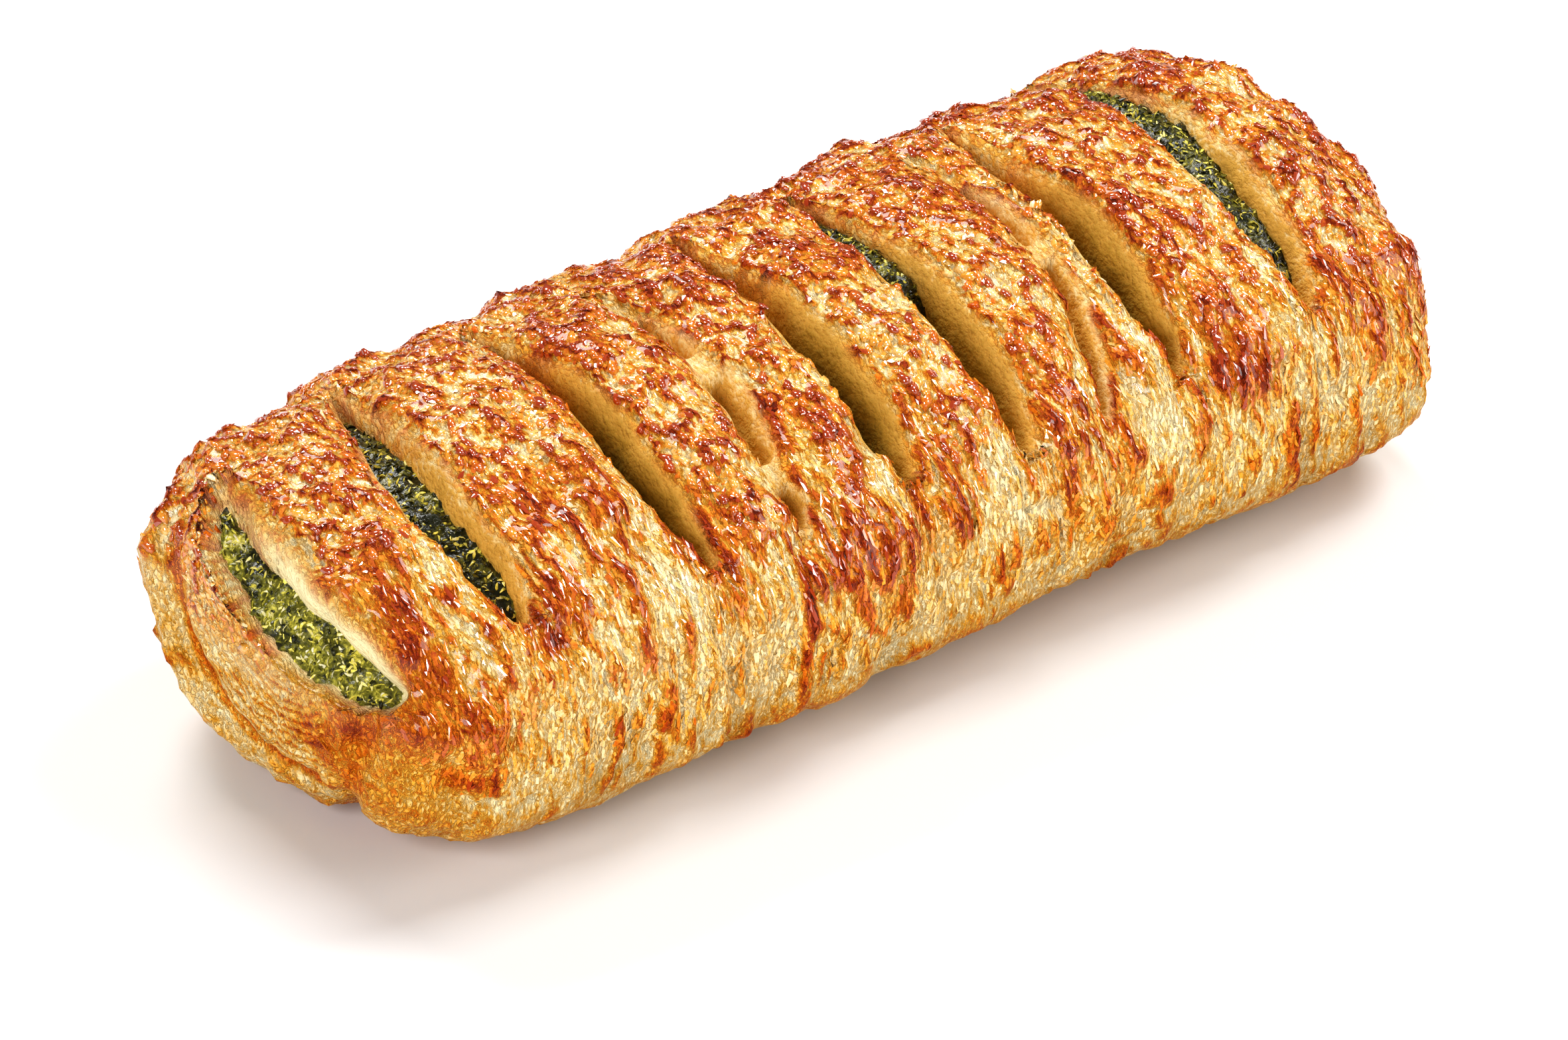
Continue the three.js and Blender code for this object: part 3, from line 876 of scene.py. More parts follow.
class Tree:
    """Short hand for building a node tree."""

    def __init__(self, tree: bpy.types.NodeTree) -> None:
        """Takes the tree to build in and clears it."""
        self.tree = tree
        self.tree.nodes.clear()

    def node(self, kind: str, **settings: object) -> bpy.types.Node:
        """Adds a node.

        Args:
            kind: Node type.
            settings: Properties to set on it.

        Returns:
            The node.
        """
        made = self.tree.nodes.new(kind)
        for name, value in settings.items():
            setattr(made, name, value)
        return made

    def put(self, socket: Socket, value: object) -> None:
        """Links a socket, or sets its value where value isn't a socket."""
        if isinstance(value, Socket):
            self.tree.links.new(value, socket)
        else:
            socket.default_value = value

    def math(self, operation: str, *values: object, clamp: bool = False) -> Socket:
        """Adds a math node.

        Args:
            operation: What it works out.
            values: Sockets or numbers for its inputs.
            clamp: Whether the result is kept from 0 to 1.

        Returns:
            Its result.
        """
        made = self.node("ShaderNodeMath", operation=operation, use_clamp=clamp)
        for socket, value in zip(made.inputs, values, strict=False):
            self.put(socket, value)
        return made.outputs[0]

    def times(self, first: object, second: object) -> Socket:
        """Product of two sockets or numbers."""
        return self.math("MULTIPLY", first, second)

    def plus(self, first: object, second: object) -> Socket:
        """Sum of two sockets or numbers."""
        return self.math("ADD", first, second)

    def minus(self, first: object, second: object) -> Socket:
        """Difference of two sockets or numbers."""
        return self.math("SUBTRACT", first, second)

    def vector(self, operation: str, first: object, second: object) -> Socket:
        """Adds a vector math node.

        Args:
            operation: What it works out.
            first: Socket or vector for its first input.
            second: Socket or vector for its second input.

        Returns:
            Its result.
        """
        made = self.node("ShaderNodeVectorMath", operation=operation)
        self.put(made.inputs[0], first)
        self.put(made.inputs[1], second)
        return made.outputs[0]

    def random(self, kind: str, low: object, high: object, draw: Draw) -> Socket:
        """Adds a random value for each instance.

        Args:
            kind: INT or FLOAT.
            low: Smallest value.
            high: Largest value.
            draw: What the value is for, which picks its seed.

        Returns:
            The value.
        """
        made = self.node("FunctionNodeRandomValue", data_type=kind)
        open_inputs = {s.name: s for s in made.inputs if s.enabled}
        self.put(open_inputs["Min"], low)
        self.put(open_inputs["Max"], high)
        self.put(open_inputs["Seed"], draw.value)
        return next(s for s in made.outputs if s.enabled)

    def attribute(self, name: str) -> Socket:
        """A number that the piece's points hold."""
        return self.node("ShaderNodeAttribute", attribute_name=name).outputs["Fac"]

    def noise(self, vector: object, scale: object, detail: float, rough: float) -> Socket:
        """Adds a noise texture.

        Args:
            vector: Where it is read.
            scale: How fine it is.
            detail: How many finer layers it has.
            rough: How strong the finer layers are.

        Returns:
            Its value, about 0.5 in the mean.
        """
        made = self.node("ShaderNodeTexNoise")
        self.put(made.inputs["Vector"], vector)
        self.put(made.inputs["Scale"], scale)
        self.put(made.inputs["Detail"], detail)
        self.put(made.inputs["Roughness"], rough)
        return made.outputs["Fac"]

    def ramp(self, value: object, stops: Stops) -> Socket:
        """Adds a colour ramp.

        Args:
            value: Where along the ramp.
            stops: Places and linear colours, from 0 to 1.

        Returns:
            Its colour.
        """
        made = self.node("ShaderNodeValToRGB")
        bands = made.color_ramp.elements
        while len(bands) < len(stops):
            bands.new(1.0)
        for band, (place, colour) in zip(bands, stops, strict=True):
            band.position = place
            band.color = (*colour, 1.0)
        self.put(made.inputs["Fac"], value)
        return made.outputs["Color"]

    def mix(self, share: object, first: Socket, second: Socket) -> Socket:
        """Mixes two colours.

        Args:
            share: How much of the second.
            first: First colour.
            second: Second colour.

        Returns:
            The mixed colour.
        """
        made = self.node("ShaderNodeMix", data_type="RGBA")
        factor, first_colour, second_colour = (s for s in made.inputs if s.enabled)
        self.put(factor, share)
        self.put(first_colour, first)
        self.put(second_colour, second)
        return next(s for s in made.outputs if s.enabled)

    def lift(self, height: Socket, strength: float, distance: float) -> Socket:
        """Adds a bump.

        Args:
            height: Height that it reads.
            strength: How strong it is.
            distance: Its full height in millimetres.

        Returns:
            The bent normal.
        """
        made = self.node("ShaderNodeBump")
        made.inputs["Strength"].default_value = strength
        made.inputs["Distance"].default_value = distance * MM
        self.put(made.inputs["Height"], height)
        return made.outputs["Normal"]


def srgb(red: int, green: int, blue: int) -> Triple:
    """Linear colour of an sRGB one, given from 0 to 255."""
    shares = (v / 255.0 for v in (red, green, blue))
    linear = [s / 12.92 if s <= 0.04045 else ((s + 0.055) / 1.055) ** 2.4 for s in shares]
    return linear[0], linear[1], linear[2]


@dataclass(frozen=True)
class FineGrit:
    """Fine grit that the finishes share: a mottle mask, cracks between flakes and a height."""

    name: str = "fine_grit"
    mottle_mean: float = 0.7
    roughness: float = 0.6
    coarse_detail: float = 3.0
    fine_detail: float = 2.0
    finer: float = 2.7
    flake_scale: float = 1.7
    flake_bend: float = 0.9
    crack_edge: float = 4.5
    coarse_mottle: float = 0.6
    fine_mottle: float = 0.8
    fine_height: float = 0.6

    def group(self) -> bpy.types.NodeTree:
        """Builds the shader group once.

        Returns:
            The group, with the inputs Grain and Stretch and the outputs Mottle, Crack and Height.
        """
        group = bpy.data.node_groups.get(self.name)
        if group:
            return group
        group = bpy.data.node_groups.new(self.name, "ShaderNodeTree")
        face = group.interface
        for name, usual in (("Grain", 1000.0), ("Stretch", 1.0)):
            face.new_socket(name, in_out="INPUT", socket_type="NodeSocketFloat").default_value = usual
        for name in ("Mottle", "Crack", "Height"):
            face.new_socket(name, in_out="OUTPUT", socket_type="NodeSocketFloat")
        tree = Tree(group)
        given = tree.node("NodeGroupInput").outputs
        results = tree.node("NodeGroupOutput").inputs
        across = tree.node("ShaderNodeCombineXYZ")
        tree.put(across.inputs["X"], 1.0)
        for axis in ("Y", "Z"):
            tree.put(across.inputs[axis], given["Stretch"])
        place = tree.node("ShaderNodeTexCoord").outputs["Object"]
        stretched = tree.vector("MULTIPLY", place, across.outputs[0])
        coarse = tree.noise(stretched, given["Grain"], self.coarse_detail, self.roughness)
        finer = tree.times(given["Grain"], self.finer)
        fine = tree.noise(stretched, finer, self.fine_detail, self.roughness)
        bend = tree.times(tree.plus(coarse, fine), self.flake_bend * MM)
        flakes = tree.node("ShaderNodeTexVoronoi", feature="DISTANCE_TO_EDGE")
        tree.put(flakes.inputs["Vector"], tree.vector("ADD", stretched, bend))
        tree.put(flakes.inputs["Scale"], tree.times(given["Grain"], self.flake_scale))
        away = tree.math("MULTIPLY", flakes.outputs["Distance"], self.crack_edge, clamp=True)
        tree.put(results["Crack"], tree.minus(1.0, away))
        broad, narrow = tree.times(coarse, self.coarse_mottle), tree.times(fine, self.fine_mottle)
        tree.put(results["Mottle"], tree.plus(broad, narrow))
        tree.put(results["Height"], tree.plus(coarse, tree.times(fine, self.fine_height)))
        return group

    def place(self, tree: Tree, grain: float, stretch: float) -> tuple[bpy.types.Node, Socket]:
        """Places the group in a material.

        Args:
            tree: The material's tree.
            grain: How fine the grit is.
            stretch: How fine it is across the roll, as a share of how fine it is along it.

        Returns:
            The group's node, and its mottle brought to about 0 in the mean.
        """
        grit = tree.node("ShaderNodeGroup", node_tree=self.group())
        grit.inputs["Grain"].default_value = grain
        grit.inputs["Stretch"].default_value = stretch
        return grit, tree.minus(grit.outputs["Mottle"], self.mottle_mean)


def new_material(name: str) -> tuple[Finish, Tree, bpy.types.Node]:
    """Makes a material with a Principled shader.

    Args:
        name: Name of the material.

    Returns:
        The material, its tree and the shader node.
    """
    made = bpy.data.materials.new(name)
    made.use_nodes = True
    tree = Tree(made.node_tree)
    shader = tree.node("ShaderNodeBsdfPrincipled")
    output = tree.node("ShaderNodeOutputMaterial")
    tree.put(output.inputs["Surface"], shader.outputs["BSDF"])
    return made, tree, shader


@dataclass(frozen=True)
class CrustFinish:
    """Baked pastry: cream where it is shielded, through gold to red-brown where it bakes brown; the same ramp
    carries painted shade and highlights.
    """

    cream: Triple = srgb(255, 236, 186)
    peach: Triple = srgb(252, 212, 138)
    gold: Triple = srgb(240, 174, 58)
    amber: Triple = srgb(222, 116, 14)
    russet: Triple = srgb(166, 54, 4)
    char: Triple = srgb(96, 28, 4)
    # crumb is the walls' own pale colour; toast, shade and deep are painted shade that deepens down into the
    # openings.
    crumb: Triple = srgb(255, 240, 190)
    toast: Triple = srgb(222, 174, 86)
    shade: Triple = srgb(184, 144, 58)
    deep: Triple = srgb(112, 96, 34)
    grain: float = 1200.0
    stretch: float = 0.4
    mottled: float = 0.75
    lined: float = 0.26
    cracked: float = 0.1
    wall_mottled: float = 0.5
    layer_turns: float = 4.6
    layer_stray: float = 9.0
    layer_power: float = 4.0
    layer_mean: float = 0.27
    layer_depth: float = 0.3
    crack_depth: float = 0.4
    bump_strength: float = 0.9
    bump_height: float = 0.85
    roughness: float = 0.36
    wall_roughness: float = 0.4
    mottled_roughness: float = 0.4
    specular: float = 0.1
    coat: float = 0.4
    coat_roughness: float = 0.1
    coat_ior: float = 1.7

    def stops(self) -> Stops:
        """Colours from unbrowned to scorched."""
        pale = ((0.0, self.cream), (0.13, self.peach), (0.29, self.gold))
        return *pale, (0.5, self.amber), (0.75, self.russet), (1.0, self.char)

    def wall_stops(self) -> Stops:
        """Colours of the openings' walls, from their pale top down through painted shade."""
        return (0.02, self.crumb), (0.2, self.toast), (0.5, self.shade), (0.9, self.deep)

    def layers(self, tree: Tree, mottle: Socket) -> Socket:
        """Fine lines of the pastry's layers.

        Args:
            tree: The material's tree.
            mottle: Fine mottle, about 0 in the mean.

        Returns:
            The lines, about 0 in the mean.
        """
        turns = tree.times(tree.attribute("layer"), self.layer_turns)
        phase = tree.plus(turns, tree.times(mottle, self.layer_stray))
        wave = tree.plus(tree.times(tree.math("SINE", phase), 0.5), 0.5)
        lines = tree.minus(tree.math("POWER", wave, self.layer_power), self.layer_mean)
        return tree.times(lines, tree.attribute("layered"))

    def colour(self, tree: Tree, mottle: Socket, crack: Socket, layers: Socket) -> Socket:
        """Colours the outside by how brown it is, painted shade and highlights included, and the walls of the
        openings by their depth, as painted shade.

        Args:
            tree: The material's tree.
            mottle: Fine mottle, about 0 in the mean.
            crack: 1 in the cracks between flakes.
            layers: Fine lines of the pastry's layers, about 0 in the mean.

        Returns:
            The colour.
        """
        spread = tree.plus(tree.times(mottle, self.mottled), tree.times(layers, self.lined))
        spread = tree.plus(spread, tree.times(crack, self.cracked))
        outside = tree.ramp(tree.plus(tree.attribute("browning_and_painted_light"), spread), self.stops())
        shaded = tree.plus(tree.attribute("inside"), tree.times(mottle, self.wall_mottled))
        return tree.mix(tree.attribute("lining"), outside, tree.ramp(shaded, self.wall_stops()))

    def make(self) -> Finish:
        """Builds the material, which reads the numbers on the crust's points."""
        made, tree, shader = new_material("baked_crust")
        grit, mottle = FineGrit().place(tree, self.grain, self.stretch)
        crack, layers = grit.outputs["Crack"], self.layers(tree, mottle)
        tree.put(shader.inputs["Base Color"], self.colour(tree, mottle, crack, layers))
        lining = tree.attribute("lining")
        rough = tree.plus(self.roughness, tree.times(lining, self.wall_roughness))
        rough = tree.math("ADD", rough, tree.times(mottle, self.mottled_roughness), clamp=True)
        tree.put(shader.inputs["Roughness"], rough)
        shader.inputs["Specular IOR Level"].default_value = self.specular
        tree.put(shader.inputs["Coat Weight"], tree.times(tree.attribute("glaze"), self.coat))
        shader.inputs["Coat Roughness"].default_value = self.coat_roughness
        shader.inputs["Coat IOR"].default_value = self.coat_ior
        cracks = tree.times(tree.times(crack, self.crack_depth), tree.minus(1.0, lining))
        height = tree.minus(grit.outputs["Height"], tree.times(layers, self.layer_depth))
        lifted = tree.lift(tree.minus(height, cracks), self.bump_strength, self.bump_height)
        tree.put(shader.inputs["Normal"], lifted)
        return made


@dataclass(frozen=True)
class GrainFinish:
    """Baked crumbs of cheese and flakes of pastry: as brown as their bed, and lighter on top as a painted
    highlight.
    """

    crust: CrustFinish = field(default_factory=CrustFinish)
    grain: float = 1400.0
    stretch: float = 1.0
    mottled: float = 0.6
    spread: float = 0.26
    darkest: float = 0.74
    roughness: float = 0.5
    specular: float = 0.1
    coat: float = 0.9
    coat_roughness: float = 0.06
    coat_ior: float = 2.2

    def make(self, name: str, foot: float, painted_highlight: float) -> Finish:
        """Builds the material.

        Args:
            name: Name of the material.
            foot: How much browner than the bed the feet are.
            painted_highlight: How much lighter than the feet the tops are: a painted highlight.

        Returns:
            The material.
        """
        made, tree, shader = new_material(name)
        _, mottle = FineGrit().place(tree, self.grain, self.stretch)
        tone = tree.times(tree.minus(tree.attribute("tone"), 0.5), self.spread)
        # The tops are made lighter than the feet: a painted highlight.
        rise = tree.times(tree.attribute("rise"), -painted_highlight)
        shift = tree.plus(tree.plus(tone, rise), tree.plus(tree.times(mottle, self.mottled), foot))
        browning_and_painted_light = tree.math("MINIMUM", tree.plus(tree.attribute("browning_and_painted_light"), shift), self.darkest)
        tree.put(shader.inputs["Base Color"], tree.ramp(browning_and_painted_light, self.crust.stops()))
        shader.inputs["Roughness"].default_value = self.roughness
        shader.inputs["Specular IOR Level"].default_value = self.specular
        tree.put(shader.inputs["Coat Weight"], tree.times(tree.attribute("glaze"), self.coat))
        shader.inputs["Coat Roughness"].default_value = self.coat_roughness
        shader.inputs["Coat IOR"].default_value = self.coat_ior
        return made


@dataclass(frozen=True)
class FillingFinish:
    """Moist chopped spinach: dark green, with lighter green and yellow flecks, darkened by painted shade
    where it is dim.
    """

    dark: Triple = srgb(36, 38, 16)
    leaf: Triple = srgb(122, 118, 38)
    pale: Triple = srgb(250, 236, 100)
    cheese: Triple = srgb(240, 234, 200)
    dimmed: float = 0.22
    grain: float = 800.0
    stretch: float = 1.0
    roughness: float = 0.28
    bump_strength: float = 0.6
    bump_height: float = 0.3

    def make(self, name: str, tone: str) -> Finish:
        """Builds the material.

        Args:
            name: Name of the material.
            tone: Name of the number on the piece's points that sets how pale it is.

        Returns:
            The material.
        """
        made, tree, shader = new_material(name)
        grit, mottle = FineGrit().place(tree, self.grain, self.stretch)
        pale = tree.plus(tree.attribute(tone), mottle)
        # Dim places are darkened: painted shade.
        pale = tree.minus(pale, tree.times(tree.attribute("dim"), self.dimmed))
        stops = ((0.0, self.dark), (0.32, self.leaf), (0.66, self.pale), (1.0, self.cheese))
        tree.put(shader.inputs["Base Color"], tree.ramp(pale, stops))
        shader.inputs["Roughness"].default_value = self.roughness
        lifted = tree.lift(grit.outputs["Height"], self.bump_strength, self.bump_height)
        tree.put(shader.inputs["Normal"], lifted)
        return made


@dataclass
class Laid:
    """Points of the crust, with their places on the smooth roll, their angles and the depth of the openings.

    Shares of the kinds of surface and parts of the fine relief are added to them by name.
    """

    surface: Surface
    points: Array
    base: Array
    angle: Array
    cut: Array
    zone: Masks = field(default_factory=dict)
    relief: Masks = field(default_factory=dict)


@dataclass(frozen=True)
class Lips:
    """Painted highlights on the lips along the near walls of the slits, where they face the light, and the
    ribs between the slits.
    """

    offset: float = 1.3
    width: float = 2.3
    inner_edge: Ease = Ease(0.5, -1.0)
    front_fade: Range = (22.0, 4.0)
    crest_fade: Ease = Ease(2.0, 36.0)
    full_slit: float = 5.0
    rib_edge: float = 4.0
    rib_fade: float = 25.0

    def pale(self, x: Array, angle: Array) -> Array:
        """How strong the painted highlight on the lips is.

        Args:
            x: Places along the roll.
            angle: Angles about it.

        Returns:
            Shares from 0 to 1.
        """
        share = np.zeros(x.shape)
        for slit in SLITS:
            off = x - slit.centre(angle)
            lip_highlight = bump((off + slit.width / 2 + self.offset) / self.width) * self.inner_edge(off)
            last, first = (slit.front + fade for fade in self.front_fade)
            reach = smoothstep(angle, last, first) * self.crest_fade(angle)
            share = np.maximum(share, lip_highlight * reach * min(slit.width / self.full_slit, 1.0))
        return share

    def rib(self, x: Array, angle: Array) -> Array:
        """How far into a rib each place is.

        Args:
            x: Places along the roll.
            angle: Angles about it.

        Returns:
            Shares from 0 in the slits to 1.
        """
        share = np.ones(x.shape)
        for slit in SLITS:
            fade = smoothstep(angle, slit.front + self.rib_fade, slit.front)
            share = np.minimum(share, 1.0 - bump((x - slit.centre(angle)) / self.rib_edge) * fade)
        return share


@dataclass(frozen=True)
class Zones:
    """How far each kind of the crust's surface reaches."""

    lips: Lips = field(default_factory=Lips)
    stray: Pattern = Pattern(8.0, 5.0, 9.0)
    spill: Ease = Ease(-46.0, -22.0, 0.0, 34.0)
    top_front: Ease = Ease(46.0, 22.0)
    top_back: Ease = Ease(-82.0, -62.0)
    top_edge: Pattern = Pattern(6.0, 71.0, 5.0)
    top_level: Ease = Ease(20.0, 31.0)
    flank_angle: Ease = Ease(116.0, 100.0)
    flank_ends: Ease = Ease(0.6, 0.92)
    wall_depth: Ease = Ease(0.3, 1.6)
    corner_x: Ease = Ease(-50.0, -60.0)
    corner_angle: Ease = Ease(45.0, 62.0)
    flap_y: Ease = Ease(-16.0, -8.0)
    flap_z: Ease = Ease(38.0, 34.0)

    def shares(self, laid: Laid) -> Masks:
        """Shares of the kinds of surface at each point.

        Args:
            laid: The points.

        Returns:
            outer, top, flank, corner, flap and near, each from 0 to 1, by name.
        """
        surface, base, angle = laid.surface, laid.base, laid.angle
        x, y, z = base[..., 0], base[..., 1], base[..., 2]
        stray = angle + self.stray.lumps(base)
        spill = self.lips.rib(x, angle) * self.spill(x)
        top = self.top_front(stray - spill) * self.top_back(stray)
        top = top * self.top_level(z + self.top_edge.lumps(base))
        inner = self.flank_ends(surface.roll.shrink(x))
        near = surface.folds.share(surface.roll, base)
        return {
            "outer": 1.0 - self.wall_depth(laid.cut),
            "top": top,
            "flank": (1.0 - top) * self.flank_angle(np.abs(stray)) * inner,
            "corner": self.corner_x(x) * self.corner_angle(stray),
            "flap": near * self.flap_y(y) * self.flap_z(z),
            "near": near,
        }


@dataclass(frozen=True)
class Texture:
    """Fine relief of the crust: grains on its top, flaky streaks on its flanks, blisters and knobs."""

    drawn: Triple = (1.0, 0.62, 0.62)
    large: Pattern = Pattern(2.2, 3.0)
    large_height: Ease = Ease(0.2, 0.3, 0.5, 0.4)
    small: Pattern = Pattern(1.25, 31.0)
    small_height: float = 0.5
    crowd: Pattern = Pattern(9.0, 61.0)
    crowd_share: Ease = Ease(-0.75, 0.0, 0.55, 0.45)
    crevice_edge: Ease = Ease(0.3, 0.02)
    streaks: Streaks = Streaks(1.7, 8.0, 11.0)
    streak_bends: Streaks = Streaks(7.0, 7.0, 3.0)
    streak_bend: float = 0.7
    streak_height: float = 0.52
    streak_hollow: Ease = Ease(0.4, 0.85)
    fibres: Streaks = Streaks(1.1, 3.2, 23.0)
    fibre_height: float = 0.32
    fibre_hollow: Ease = Ease(0.5, 0.9, 0.0, 0.6)
    flaky_corner: float = 0.7
    blisters: Pattern = Pattern(8.5, 77.0)
    blister_cut: float = 0.86
    blister_height: float = 7.0
    blister_pick: Ease = Ease(0.6, 0.65)
    blister_share: Range = (0.3, 0.7)
    fine_crinkle: Pattern = Pattern(1.4, 51.0, 0.22)
    crinkle: Pattern = Pattern(2.7, 52.0, 0.3)
    knob_ring: Ease = Ease(1.02, 1.1)
    knob_level: Ease = Ease(3.0, 7.0)
    knob_cut: float = 0.3
    knob_height: float = 0.8
    corner_height: float = 0.4
    corner_pick: Ease = Ease(0.3, 0.5)
    raised_share: Range = (0.6, 0.8)
    end_fade: Ease = Ease(0.03, 0.2)
    pit_depth: float = 0.12
    pit_limits: Range = (-0.7, 1.0)
    dip_reach: int = 3
    dip_depth: float = 0.4
    dip_limits: Range = (-1.0, 1.0)
    dip_share: float = 0.35

    def grains(self, laid: Laid) -> Masks:
        """Grains of the top, and the pebbles that they are made of.

        Args:
            laid: The points, with their zones.

        Returns:
            large and large_tone, tone of the small pebbles, grains and crevice, by name.
        """
        drawn = laid.points * np.array(self.drawn)
        large, large_tone = self.large.pebbles(drawn)
        small, tone = self.small.pebbles(drawn)
        crowd = self.crowd_share(self.crowd.lumps(laid.base)) * laid.zone["top"]
        grains = crowd * (self.large_height(large_tone) * large + self.small_height * small)
        # The low places between the grains are darkened later: painted shade.
        crevice = crowd * self.crevice_edge(grains)
        return {"large": large, "large_tone": large_tone, "tone": tone, "grains": grains, "crevice": crevice}

    def flakes(self, laid: Laid) -> Masks:
        """Flaky streaks of the flanks.

        Args:
            laid: The points.

        Returns:
            flaky, streak and hollow, by name.
        """
        x, arc = laid.base[..., 0], np.radians(laid.angle) * ARC_RADIUS
        streak = self.streaks.at(x, arc, self.streak_bend * self.streak_bends.at(x, arc))
        fibre = self.fibres.at(x, arc)
        flaky = self.streak_height * (1.0 - 2.0 * np.abs(streak))
        flaky = flaky + self.fibre_height * (1.0 - 2.0 * np.abs(fibre))
        # hollow marks the valleys of the streaks, which are darkened later as painted shade.
        hollow = self.streak_hollow(np.abs(streak)) + self.fibre_hollow(np.abs(fibre))
        return {"flaky": flaky, "streak": streak, "hollow": hollow}

    def relief(self, laid: Laid) -> Masks:
        """Fine relief of the crust.

        Args:
            laid: The points without it, with their zones.

        Returns:
            fine, which is its height, knobs, and what grains and flakes return, by name.
        """
        surface, points, base, zone = laid.surface, laid.points, laid.base, laid.zone
        relief = self.grains(laid) | self.flakes(laid)
        large = relief["large"]
        blister, blister_tone = self.blisters.pebbles(points)
        blister = np.clip(blister - self.blister_cut, 0.0, 1.0) * self.blister_height
        blister = blister * self.blister_pick(blister_tone)
        crinkle = self.fine_crinkle.lumps(points) + self.crinkle.lumps(points)
        knobs = zone["flap"] * self.knob_ring(surface.folds.ring(base))
        knobs = knobs * self.knob_level(base[..., 2]) * (large - self.knob_cut)
        flank = zone["flank"] * (1.0 - self.flaky_corner * zone["corner"])
        least, more = self.blister_share
        fine = relief["grains"] + flank * relief["flaky"] + (least + more * zone["flank"]) * blister
        fine = fine + crinkle + self.knob_height * knobs
        least, more = self.raised_share
        raised = sum(patch.rise * patch.share(base) for patch in PATCHES) * (least + more * large)
        corner = self.corner_height * zone["corner"] * large
        corner = corner * self.corner_pick(relief["large_tone"])
        fine = (fine + (raised + corner)) * zone["outer"]
        fine = fine * self.end_fade(surface.roll.shrink(base[..., 0]))
        return relief | {"fine": fine, "knobs": knobs}

    def pits(self, points: Array) -> Array:
        """How far points lie in hollows, below 0 on ridges: painted shade in the hollows and a painted
        highlight on the ridges.
        """
        dips = np.clip(cavity(points, self.dip_reach) / self.dip_depth, *self.dip_limits)
        return np.clip(cavity(points, 1) / self.pit_depth, *self.pit_limits) + self.dip_share * dips


